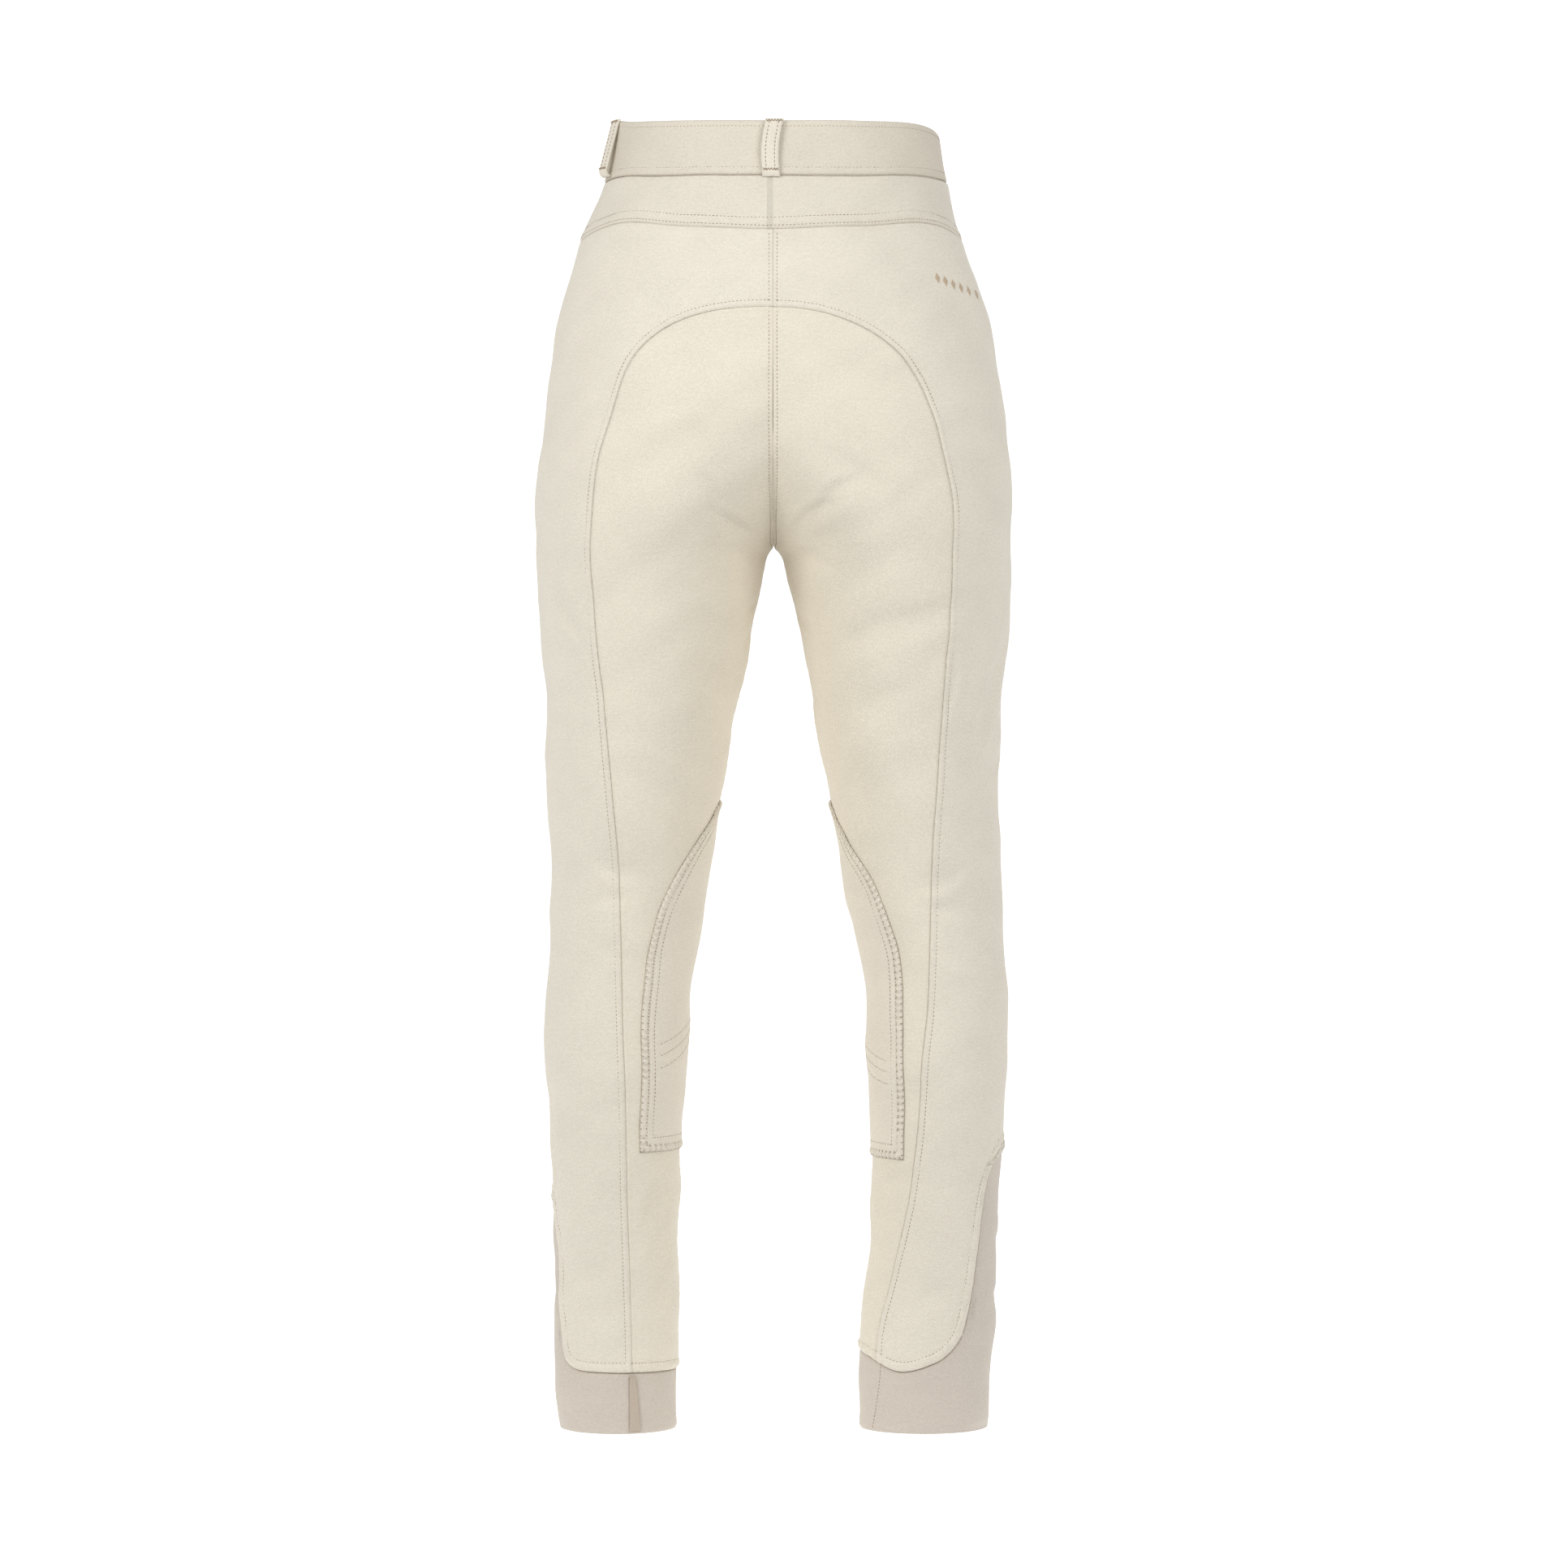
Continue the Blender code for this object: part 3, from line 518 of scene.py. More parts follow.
def seam_relief(gap, run, edge):
    """Height of the cloth beside one seam."""
    cord = edge.rows[-1] if edge.rows else 0.0034
    ripple = pucker(run)
    height = -edge.dip * np.exp(-(gap / 0.0010) ** 2)
    height += edge.puff * np.sin(PI * np.clip(gap / cord, 0, 1)) ** 0.7 * (1 + 0.30 * ripple)
    height += 0.00012 * ripple * np.exp(-((gap - cord - 0.0015) / 0.0030) ** 2)
    for row in edge.rows:
        height -= 0.00030 * np.exp(-((gap - row) / 0.0007) ** 2)
    return height


def relief(side, angle, z, edges, soft=1.0):
    """Points of the form, the way they face, their relief and their nearest seam."""
    side, angle, z = np.broadcast_arrays(side, angle, z)
    points, out = form(side, angle, z), facing(side, angle, z)
    height, nearest = hang(side, angle, z, points) * soft, np.full(z.shape, 0.02)
    for one in (-1, 1):
        mine = side == one
        if not mine.any():
            continue
        for edge in edges:
            gap, run = distance_to(SEAM_TREES[one, edge.seam], points[mine])
            height[mine] += seam_relief(gap, run, edge)
            lower = np.clip((-0.16 - z[mine]) / 0.35, 0, 1)
            # the seam distance, lengthened by each edge's faint, is the mask of the painted seam shade
            nearest[mine] = np.minimum(nearest[mine], gap + edge.faint * (1 + lower))
    return points, out, height, nearest


ARCH_ROW, CENTRE_ROW, CUFF_ROW, YOKE_ROWS = 0.0048, 0.0028, 0.0068, (0.0024, 0.0084)   # rows off their seams
CENTRE = Edge("centre_back", (CENTRE_ROW,), .0001, .0002, .0008)
SIDE, INSEAM = Edge("side", (), .0004, .0002, .0004), Edge("inseam", (), .0004, .0002, .0004)
TURNED = Edge("cuff", (CUFF_ROW,), .0002, .0009, .0004)
EDGES = {
    "hip": [Edge("arch", (ARCH_ROW,), .0004, .0005, .0002), CENTRE,
            Edge("yoke", (), .0006, .0001, -.0002), SIDE, TURNED],
    "seat": [Edge("arch", (), .0004, .0002, .0002), CENTRE, INSEAM, TURNED],
    "front": [Edge("band", (), .0006, .0001, .0), SIDE,
              Edge("centre_front", (), .0005, .0003, .0002), INSEAM, TURNED],
    "yoke": [Edge("yoke", YOKE_ROWS, .0007, .0006, .0002), Edge("band", (), .0009, .0001, .0),
             Edge("side", (), .0006, .0002, .0004)],
    "cuff": [Edge("cuff", (), .0012, .0, -.0004)],
}

# %% [markdown]
# ## Colours and weave
# One beige cloth, dyed together, reads differently by piece: the seat is a
# touch yellower and brushed, the knee patches a little darker, the knitted
# cuffs greyer and pinker. The cloth is a melange: pale and darker fibres spun
# together, so it is flecked rather than flat. The flecks, the twill rib, the
# knit and the tape's herringbone are each one node group, used wherever that
# cloth appears, and they follow the cloth's own grain through its UV map.

# %% Node groups for the cloth
def srgb(*levels):
    """A colour from its 0 to 255 screen levels."""
    part = np.array(levels) / 255
    return (*np.where(part <= 0.04045, part / 12.92, ((part + 0.055) / 1.055) ** 2.4).tolist(), 1)


def add(tree, kind, x, y, **settings):
    node = tree.nodes.new("ShaderNode" + kind)
    node.location = (x, y)
    for name, value in settings.items():
        if name in node.inputs:
            node.inputs[name].default_value = value
        else:
            setattr(node, name.lower(), value)
    return node


def maths(tree, operation, x, y, first, second=None, third=None):
    node = add(tree, "Math", x, y, operation=operation)
    for socket, value in zip(node.inputs, (first, second, third)):
        if value is None:
            continue
        if isinstance(value, (int, float)):
            socket.default_value = value
        else:
            tree.links.new(value, socket)
    return node.outputs[0]


def dimmed(tree, x, y, colour, amount):
    """A colour times an amount that changes over the surface."""
    node = add(tree, "VectorMath", x, y, operation="SCALE")
    node.inputs[0].default_value = colour
    tree.links.new(amount, node.inputs["Scale"])
    return node.outputs[0]


def new_material(name, roughness):
    """A new material, its node tree and its shader."""
    material = bpy.data.materials.new(name)
    material.use_nodes = True
    shader = material.node_tree.nodes["Principled BSDF"]
    shader.inputs["Roughness"].default_value = roughness
    return material, material.node_tree, shader


def group(name, inputs, outputs):
    """An empty node group with named number or vector inputs and number outputs."""
    tree = bpy.data.node_groups.new(name, "ShaderNodeTree")
    for title, kind, value in inputs:
        socket = tree.interface.new_socket(title, in_out="INPUT", socket_type="NodeSocket" + kind)
        if value is not None:
            socket.default_value = value
    for title in outputs:
        tree.interface.new_socket(title, in_out="OUTPUT", socket_type="NodeSocketFloat")
    start = tree.nodes.new("NodeGroupInput")
    start.location = (-900, 0)
    end = tree.nodes.new("NodeGroupOutput")
    end.location = (700, 0)
    return tree, start.outputs, end.inputs


def grain(tree, start, turn, stretch, x):
    """The cloth's own coordinates in millimetres, turned to the grain and stretched."""
    mapping = add(tree, "Mapping", x, 0)
    tree.links.new(start["Grain"], mapping.inputs["Vector"])
    mapping.inputs["Rotation"].default_value = (0, 0, turn)
    mapping.inputs["Scale"].default_value = stretch
    return mapping.outputs[0]


def melange_group():
    """Fibres of two shades: 1 where pale, 0 where dark, drawn out along the yarn."""
    tree, start, end = group("melange flecks", [("Grain", "Vector", None)], ["Flecks", "Clouds"])
    fine = add(tree, "TexNoise", -400, 200, Scale=1.0, Detail=3.0, Roughness=0.62)
    tree.links.new(grain(tree, start, 0.32, (560, 780, 1), -650), fine.inputs["Vector"])
    long = add(tree, "TexNoise", -400, -80, Scale=1.0, Detail=2.0, Roughness=0.55)
    tree.links.new(grain(tree, start, -0.12, (190, 430, 1), -650), long.inputs["Vector"])
    cloud = add(tree, "TexNoise", -400, -340, Scale=1.0, Detail=2.0, Roughness=0.5)
    tree.links.new(grain(tree, start, 0.5, (26, 40, 1), -650), cloud.inputs["Vector"])
    both = maths(tree, "MULTIPLY_ADD", -120, 120, long.outputs[0], 0.5, 0.0)
    both = maths(tree, "MULTIPLY_ADD", 60, 120, fine.outputs[0], 1.5, both)
    tree.links.new(maths(tree, "MULTIPLY", 260, 120, both, 0.5), end["Flecks"])
    tree.links.new(cloud.outputs[0], end["Clouds"])
    return tree


def twill_group():
    """Fine slanting ribs of the twill, as a height."""
    tree, start, end = group("twill rib", [("Grain", "Vector", None)], ["Rib"])
    wave = add(tree, "TexWave", -300, 0, Scale=1.0, Distortion=1.4, Detail=1.0)
    wave.inputs["Detail Scale"].default_value = 2.0
    tree.links.new(grain(tree, start, 1.05, (250, 250, 1), -600), wave.inputs["Vector"])
    tree.links.new(wave.outputs["Fac"], end["Rib"])
    return tree


def knit_group():
    """Upright ribs of a fine knit, each a row of small loops, as a height."""
    tree, start, end = group("knit rib", [("Grain", "Vector", None)], ["Rib"])
    ribs = add(tree, "TexWave", -300, 120, Scale=1.0, Distortion=0.3)
    tree.links.new(grain(tree, start, 0.0, (290, 290, 1), -600), ribs.inputs["Vector"])
    loops = add(tree, "TexWave", -300, -160, Scale=1.0, Distortion=0.5, bands_direction="Y")
    tree.links.new(grain(tree, start, 0.0, (260, 260, 1), -600), loops.inputs["Vector"])
    tree.links.new(maths(tree, "MULTIPLY", 0, 0, ribs.outputs["Fac"], loops.outputs["Fac"]), end["Rib"])
    return tree


def herringbone_group():
    """Herringbone of a narrow tape: slanting ribs that turn back every few millimetres."""
    tree, start, end = group("herringbone", [("Grain", "Vector", None)], ["Rib"])
    parts = add(tree, "SeparateXYZ", -650, 0)
    tree.links.new(start["Grain"], parts.inputs[0])
    fold = maths(tree, "PINGPONG", -450, 100, parts.outputs[0], 0.0022)
    slant = maths(tree, "ADD", -250, 0, fold, parts.outputs[1])
    wave = maths(tree, "SINE", -50, 0, maths(tree, "MULTIPLY", -150, 0, slant, 2 * PI / 0.0011))
    tree.links.new(maths(tree, "MULTIPLY_ADD", 200, 0, wave, 0.5, 0.5), end["Rib"])
    return tree


def ditch_group():
    """Painted shade in a seam's ditch: 1 on the seam line, fading out beside it."""
    tree, start, end = group("painted seam shade", [("Gap in mm", "Float", None)], ["Line", "Hollow"])
    for title, width, y in (("Line", 0.55, 200), ("Hollow", 2.6, -100)):
        gap = maths(tree, "DIVIDE", -600, y, start[0], width)
        square = maths(tree, "MULTIPLY", -400, y, gap, gap)
        minus = maths(tree, "MULTIPLY", -200, y, square, -1.0)
        tree.links.new(maths(tree, "EXPONENT", 0, y, minus), end[title])
    return tree


GROUPS = {"ditch": ditch_group(), "melange": melange_group(), "twill": twill_group(),
          "knit": knit_group(), "herringbone": herringbone_group()}
CLOUD = 0.05    # how much the slow clouds of lighter and darker fibre show


def use_group(tree, name, x, y):
    """One of the shared groups, placed in a material."""
    node = add(tree, "Group", x, y)
    node.node_tree = GROUPS[name]
    return node


def cloth_material(name, colour, weave, fleck=0.25, relief_height=0.00012, sheen=0.2, line=0.12):
    """Cloth with flecks and a weave; the 'ditch' distance paints shade along its seams and 'shade' is
    painted shade.
    """
    material, tree, shader = new_material(name, 0.88)
    shader.inputs["Specular IOR Level"].default_value = 0.22
    shader.inputs["Sheen Weight"].default_value = sheen
    shader.inputs["Sheen Roughness"].default_value = 0.45
    cut = add(tree, "UVMap", -1300, 0, uv_map="cloth")
    flecks = use_group(tree, "melange", -1050, 200)
    ribs = use_group(tree, weave, -1050, -200)
    for node in (flecks, ribs):
        tree.links.new(cut.outputs[0], node.inputs[0])
    shade = add(tree, "Attribute", -1050, 450, attribute_name="shade")
    light = maths(tree, "MULTIPLY_ADD", -800, 250, flecks.outputs["Flecks"], 2 * fleck, 1 - fleck)
    light = maths(tree, "SUBTRACT", -700, 380, light, CLOUD)
    light = maths(tree, "MULTIPLY_ADD", -650, 250, flecks.outputs["Clouds"], 2 * CLOUD, light)
    gap = add(tree, "Attribute", -1300, 700, attribute_name="ditch")
    seam = use_group(tree, "ditch", -1050, 700)
    tree.links.new(gap.outputs["Fac"], seam.inputs[0])
    # painted shade: the seam line and the hollow beside it, plus the 'shade' attribute, blend the colour
    # toward the brown below
    dark = maths(tree, "MULTIPLY_ADD", -800, 600, seam.outputs["Line"], line, shade.outputs["Fac"])
    dark = maths(tree, "MULTIPLY_ADD", -620, 600, seam.outputs["Hollow"], 0.03, dark)
    tint = dimmed(tree, -400, 250, srgb(*colour)[:3], light)
    blend = add(tree, "Mix", -200, 300, data_type="RGBA")
    colours = [socket for socket in blend.inputs if socket.type == "RGBA"]
    # warm brown of the painted seam shade
    colours[1].default_value = srgb(138, 112, 84)
    tree.links.new(dark, blend.inputs[0])
    tree.links.new(tint, colours[0])
    mixed = [socket for socket in blend.outputs if socket.type == "RGBA"][0]
    tree.links.new(mixed, shader.inputs["Base Color"])
    bump = add(tree, "Bump", -300, -200, Strength=0.55, Distance=relief_height)
    both = maths(tree, "MULTIPLY_ADD", -550, -200, flecks.outputs["Flecks"], 0.8, ribs.outputs["Rib"])
    tree.links.new(both, bump.inputs["Height"])
    tree.links.new(bump.outputs[0], shader.inputs["Normal"])
    return material


# line sets how dark each cloth's painted seam shade is
MATERIALS = {
    "twill": cloth_material("beige stretch twill", (233, 226, 211), "twill"),
    "yoke": cloth_material("beige yoke twill", (228, 221, 206), "twill", line=0.24),
    "band": cloth_material("beige waistband twill", (225, 217, 201), "twill", line=0.34),
    "seat": cloth_material("brushed seat cloth", (235, 227, 210), "twill", sheen=0.25),
    "patch": cloth_material("knee patch cloth", (234, 226, 211), "twill", fleck=0.22, line=0.10),
    "knit_left": cloth_material("knitted cuff, left", (212, 202, 189), "knit", fleck=0.24),
    "knit_right": cloth_material("knitted cuff, right", (212, 202, 190), "knit", fleck=0.24),
    "tape": cloth_material("herringbone tape", (204, 189, 172), "herringbone", fleck=0.05,
                           relief_height=0.0004),
}


def thread_material(name, colour):
    """Polyester thread: smoother than the cloth, with a faint lustre and a twist."""
    material, tree, shader = new_material(name, 0.55)
    shader.inputs["Sheen Weight"].default_value = 0.2
    place = add(tree, "TexCoord", -900, 0)
    noise = add(tree, "TexNoise", -650, 0, Scale=420.0, Detail=2.0)
    tree.links.new(place.outputs["Object"], noise.inputs["Vector"])
    light = maths(tree, "MULTIPLY_ADD", -420, 0, noise.outputs[0], 0.16, 0.92)
    tint = dimmed(tree, -200, 0, srgb(*colour)[:3], light)
    tree.links.new(tint, shader.inputs["Base Color"])
    return material


# the thread is darker than the cloth as painted shade of the grooves its stitches sit in
MATERIALS["thread"] = thread_material("topstitch thread with painted groove shade", (164, 145, 120))
# darker still: the rungs stand in for the shaded pits between the ladder's cells
MATERIALS["rung"] = thread_material("ladder thread with painted pit shade", (146, 126, 102))
MATERIALS["embroidery"] = thread_material("embroidery thread", (192, 172, 146))
print(len(MATERIALS), "materials from", len(GROUPS), "node groups")

# %% [markdown]
# ## Laying a piece of cloth
# Blender's grid operator gives a flat, evenly woven sheet. We move each of its
# points to its place on the form, lift it by the relief, and let a Solidify
# modifier give the wall. Between four seams the sheet is spread like a sail
# between four ropes (a Coons patch), so its threads follow the seams and the
# fine ditch beside each seam is drawn cleanly.

# %% Cloth from a grid
PIECES = {}


def blend_sheet(left, right, top, bottom):
    """Angles and heights spread between four paths that meet at their ends."""
    left, right, top, bottom = (np.stack(path[1:], -1) for path in (left, right, top, bottom))
    u = np.linspace(0, 1, len(top))[None, :, None]
    v = np.linspace(0, 1, len(left))[:, None, None]
    sheet = (1 - u) * left[:, None] + u * right[:, None] + (1 - v) * top[None] + v * bottom[None]
    sheet -= ((1 - u) * (1 - v) * left[0] + u * (1 - v) * right[0]
              + (1 - u) * v * left[-1] + u * v * right[-1])
    return sheet[..., 0], sheet[..., 1]


def object_of(name, mesh, material):
    """A smooth object of one material, put in the scene."""
    mesh.shade_smooth()
    mesh.materials.append(material)
    thing = bpy.data.objects.new(name, mesh)
    bpy.context.scene.collection.objects.link(thing)
    return thing


def object_from(name, bm, material):
    """The same, from a finished bmesh."""
    mesh = bpy.data.meshes.new(name)
    bm.to_mesh(mesh)
    bm.free()
    return object_of(name, mesh, material)


def lay_grid(name, points, out, uv, ditch, wall, material, close=False, shade=None):
    """A sheet of cloth with one vertex for each of the points, and a wall inwards."""
    rows, columns = points.shape[0] - 1, points.shape[1] - 1
    bm = bmesh.new()
    bmesh.ops.create_grid(bm, x_segments=columns, y_segments=rows, size=1)
    mesh = bpy.data.meshes.new(name)
    bm.to_mesh(mesh)
    bm.free()
    flat = np.zeros(len(mesh.vertices) * 3, dtype=np.float32)
    mesh.vertices.foreach_get("co", flat)
    flat = flat.reshape(-1, 3)
    col = np.round((flat[:, 0] + 1) / 2 * columns).astype(int)
    row = np.round((1 - flat[:, 1]) / 2 * rows).astype(int)
    mesh.vertices.foreach_set("co", points[row, col].astype(np.float32).ravel())
    layer = mesh.uv_layers.new(name="cloth")
    corner = np.zeros(len(mesh.loops), dtype=np.int32)
    mesh.loops.foreach_get("vertex_index", corner)
    layer.data.foreach_set("uv", uv[row, col][corner].astype(np.float32).ravel())
    # 'ditch' (seam distance in mm) and 'shade' are the masks of the painted shade in the cloth material
    shade = np.zeros(ditch.shape) if shade is None else shade
    for title, values in (("ditch", ditch * 1000), ("shade", shade)):
        layer = mesh.attributes.new(title, "FLOAT", "POINT")
        layer.data.foreach_set("value", values[row, col].astype(np.float32).ravel())
    mesh.update()
    normals = np.zeros(len(mesh.vertices) * 3, dtype=np.float32)
    mesh.vertices.foreach_get("normal", normals)
    if (normals.reshape(-1, 3) * out[row, col]).sum() < 0:
        mesh.flip_normals()
    if close:
        bm = bmesh.new()
        bm.from_mesh(mesh)
        bmesh.ops.remove_doubles(bm, verts=bm.verts, dist=0.00001)
        bm.to_mesh(mesh)
        bm.free()
    piece = object_of(name, mesh, material)
    thick = piece.modifiers.new("wall", "SOLIDIFY")
    thick.thickness = wall
    thick.offset = -1
    down, across = points[1:, :-1] - points[:-1, :-1], points[:-1, 1:] - points[:-1, :-1]
    cells = np.linalg.norm(np.cross(down, across), axis=-1)
    PIECES[name] = {"object": piece, "area": float(cells.sum()), "uv": uv}
    print(f"{name}: {rows} x {columns} cells, {cells.sum() * 1e4:.0f} cm2")
    return piece


def flat_of(side, angle, z):
    """Where each point lies on the flat cloth: round the leg, and up."""
    return np.stack([arc(side, angle, z) * side, z], -1)


def lay(name, side, angle, z, edges, material):
    """Lays a sheet on the form between its seams."""
    side = np.broadcast_to(side, angle.shape)
    points, out, height, ditch = relief(side, angle, z, edges)
    return lay_grid(name, points + out * height[..., None], out, flat_of(side, angle, z), ditch,
                    WALL["cloth"], MATERIALS[material])


def nudged(path, away):
    """A path moved sideways on the cloth by a small distance, to its left (+)."""
    side, angle, z = path
    round_leg = form(side, angle + 0.01, z) - form(side, angle - 0.01, z)
    span = np.linalg.norm(round_leg, axis=-1)
    dx = (np.gradient(form(side, angle, z), axis=0) * round_leg).sum(-1) / span
    dz = np.gradient(z)
    size = np.maximum(np.hypot(dx, dz), 1e-9)
    return side, angle - dz / size * away / (span / 0.02), z + dx / size * away


# %% [markdown]
# ## The leg panels
# Three panels make each half. The full seat hangs inside the arched seam and
# runs down the inside of the calf. The hip piece fills the space from that
# seam, over the hip, to the side seam; on each leg its lower corner is rounded
# where the knitted cuff climbs the outside of the shin. The front closes the
# leg between the side seam and the inseam. The yoke joins both hips at the top.

# %% Seat, hip, front and yoke
def part_of(path, start, end):
    """The stretch of a path between two shares of its points."""
    side, angle, z = path
    n = len(angle) - 1
    cut = slice(int(round(start * n)), int(round(end * n)) + 1)
    return side, angle[cut], z[cut]


SEAT_LENGTH, SEAT_WIDTH = 0.93, 0.115      # rounded lengths that share out the cells of each sheet
HIP_LENGTH, HIP_WIDTH = 0.95, 0.110
FRONT_LENGTH, FRONT_WIDTH = 0.84, 0.175
YOKE_DEPTH, YOKE_HALF = 0.039, 0.155
SHOULDER = 0.14                            # share of the hip's outer edge that is yoke seam


def make_seat(side):
    arch = nudged(SEAMS[side]["arch"], -SEAM_HALF)
    down, across = stations(SEAT_LENGTH, start=False), stations(SEAT_WIDTH)
    centre = even(SEAMS[side]["centre_back"], pitch=0.0005)
    below = centre[2] <= SEAT_SEAM[0].height
    middle = joined((side, centre[1][below], centre[2][below]), SEAMS[side]["inseam"])
    inner, outer = spaced(middle, down), spaced(arch, down)
    inner[1][0], inner[2][0] = outer[1][0], outer[2][0]
    top = (side, np.full(len(across), outer[1][0]), np.full(len(across), outer[2][0]))
    bottom = spaced(level_path(side, CUFF_EDGE[side], -PI, outer[1][-1]), across)
    inner[2][-1], outer[2][-1] = bottom[2][0], bottom[2][-1]
    angle, z = blend_sheet(inner, outer, top, bottom)
    return lay(sided("seat", side), side, angle, z, EDGES["seat"], "seat")


def make_hip(side):
    """The yoke seam and the side seam are two edges of one side of the sheet."""
    down, across = stations(HIP_LENGTH), stations(HIP_WIDTH)
    down = np.sort(np.append(down, SHOULDER))
    inner = spaced(nudged(SEAMS[side]["arch"], SEAM_HALF), down)
    along_top = level_path(side, YOKE_SEAM, -PI / 2, SIDE_SEAM)
    along_side = joined(side_path(side, edge_height(YOKE_SEAM, SIDE_SEAM)),
                        level_path(side, CUFF_EDGE[side], SIDE_SEAM, CUFF_CORNER[side]))
    outer = joined(spaced(along_top, down[down <= SHOULDER] / SHOULDER),
                   spaced(along_side, (down[down > SHOULDER] - SHOULDER) / (1 - SHOULDER)))
    top = spaced((side, np.full(50, -PI / 2), np.linspace(inner[2][0], outer[2][0], 50)), across)
    bottom = spaced(level_path(side, CUFF_EDGE[side], inner[1][-1], CUFF_CORNER[side]), across)
    inner[1][0], inner[2][-1] = -PI / 2, bottom[2][0]
    angle, z = blend_sheet(inner, outer, top, bottom)
    return lay(sided("hip", side), side, angle, z, EDGES["hip"], "twill")


def make_front(side):
    down, across = stations(FRONT_LENGTH), stations(FRONT_WIDTH)
    outer = spaced(side_path(side, edge_height(BAND_SEAM, SIDE_SEAM)), down)
    inner = spaced(joined(SEAMS[side]["centre_front"], inseam_path(side, True)), down)
    top = spaced(level_path(side, BAND_SEAM, SIDE_SEAM, PI / 2), across)
    bottom = spaced(level_path(side, CUFF_EDGE[side], SIDE_SEAM, PI), across)
    angle, z = blend_sheet(outer, inner, top, bottom)
    return lay(sided("front", side), side, angle, z, EDGES["front"], "twill")


def back_strip(top_table, low_table, down, columns, reach):
    """Sides, angles and heights of a strip across the back, between two seams."""
    turn = np.linspace(-(PI / 2 + reach), PI / 2 + reach, 2 * columns + 1)
    side = np.where(turn < 0, -1, 1)
    angle = np.abs(turn) - PI / 2
    part = down[:, None]
    top, low = edge_height(top_table, angle), edge_height(low_table, angle)
    z = top + (low - top) * part
    return np.broadcast_to(side, z.shape), np.broadcast_to(angle, z.shape), z


def make_yoke():
    side, angle, z = back_strip(BAND_SEAM, YOKE_SEAM, stations(YOKE_DEPTH), int(YOKE_HALF / FINE), SIDE_SEAM)
    return lay("back_yoke", side, angle, z, EDGES["yoke"], "yoke")


for which in (-1, 1):
    make_seat(which)
    make_hip(which)
    make_front(which)
make_yoke()

# %% [markdown]
# ## Sock cuffs
# Below the knee the breeches end in thin stretch knit, so that boots slide
# over them. Each cuff is a tube open at both ends: it starts under the turned
# edge of the leg panels and ends at a plain folded hem. The back seam of the
# left cuff is bound with a wedge of herringbone tape.

# %% Cuffs and tape
def make_cuff(side):
    columns = int(0.29 / FINE)
    rows = int(0.10 / FINE)
    edge = even(level_path(side, CUFF_EDGE[side], -PI, PI), count=2 * columns)
    angle = np.broadcast_to(edge[1], (rows, len(edge[1])))
    part = (np.linspace(0, 1, rows) ** 1.25)[:, None]
    z = edge[2] - 0.0003 + (HEM - edge[2] + 0.0003) * part
    points, out, height, ditch = relief(np.broadcast_to(side, z.shape), angle, z, EDGES["cuff"])
    height = height - 0.0009 * np.exp(-((z - HEM) / 0.0012) ** 2) - 0.0006
    height -= 0.00025 * np.exp(-((z - HEM - 0.011) / 0.0007) ** 2)
    points = points + out * height[..., None]
    points[:, -1] = points[:, 0]
    return lay_grid(sided("cuff", side), points, out, flat_of(side, angle, z), ditch, WALL["knit"],
                    MATERIALS[sided("knit", side)], close=True)


TAPE_TOP, TAPE_END = -0.8885, -0.9290


def make_tape():
    rows, columns = 26, 10
    part = np.linspace(0, 1, rows)[:, None]
    z = np.broadcast_to(TAPE_TOP + (TAPE_END - TAPE_TOP) * part, (rows, columns))
    width = 0.0050 + 0.0034 * part
    angle = np.radians(-104) - np.linspace(0, 1, columns)[None, :] * width / 0.045
    points, out, height, ditch = relief(np.broadcast_to(-1, z.shape), angle, z, [])
    across = np.linspace(-1, 1, columns)[None, :]
    height = height + 0.0011 - 0.0005 * across ** 8
    uv = np.stack([arc(-1, angle, z), z], -1)
    return lay_grid("cuff_tape_left", points + out * height[..., None], out, uv, ditch, WALL["tape"],
                    MATERIALS["tape"])


for which in (-1, 1):
    make_cuff(which)
make_tape()

# %% [markdown]
# ## Knee patches
# The patches lie on the inside of the knee, where the leg grips the saddle.
# Their edge is worked with a wide ladder stitch that cuts the edge into plump
# little cells, with a pit between each two. A second row runs inside it, and
# three curved rows cross the patch where it bends.

# %% Knee patches
Wrap = namedtuple("Wrap", "height left right front")
PATCH = [
    Wrap(-0.7270, 66, 58, 78), Wrap(-0.6535, 66, 58, 80), Wrap(-0.5890, 68, 60, 80),
    Wrap(-0.5530, 64, 57, 76), Wrap(-0.5250, 54, 48, 66), Wrap(-0.5000, 37, 30, 50),
    Wrap(-0.4830, 20, 13, 32), Wrap(-0.4740, 9, 6, 18), Wrap(-0.4690, 0, 0, 0),
]
PATCH_TOP, PATCH_LOW = -0.4690, {-1: -0.7245, 1: -0.7300}
LADDER_WIDTH, LADDER_PITCH, PATCH_ROW = 0.0054, 0.0048, 0.0106
PATCH_LIFT = 0.0017


def patch_outline(side, behind):
    """One side of the patch's edge, from its top down to its lower corner."""
    z = np.linspace(PATCH_TOP, PATCH_LOW[side], 900)
    z = PATCH_TOP + (z - PATCH_TOP) * np.linspace(0, 1, 900) ** 0.6
    heights = [row.height for row in PATCH]
    wrap = [(row.left if side < 0 else row.right) if behind else row.front for row in PATCH]
    turn = np.radians(softened(through(heights, wrap, z), 14))
    turn = turn * np.clip((PATCH_TOP - z) / 0.004, 0, 1) ** 0.5
    return side, -PI + turn if behind else -PI - turn, z


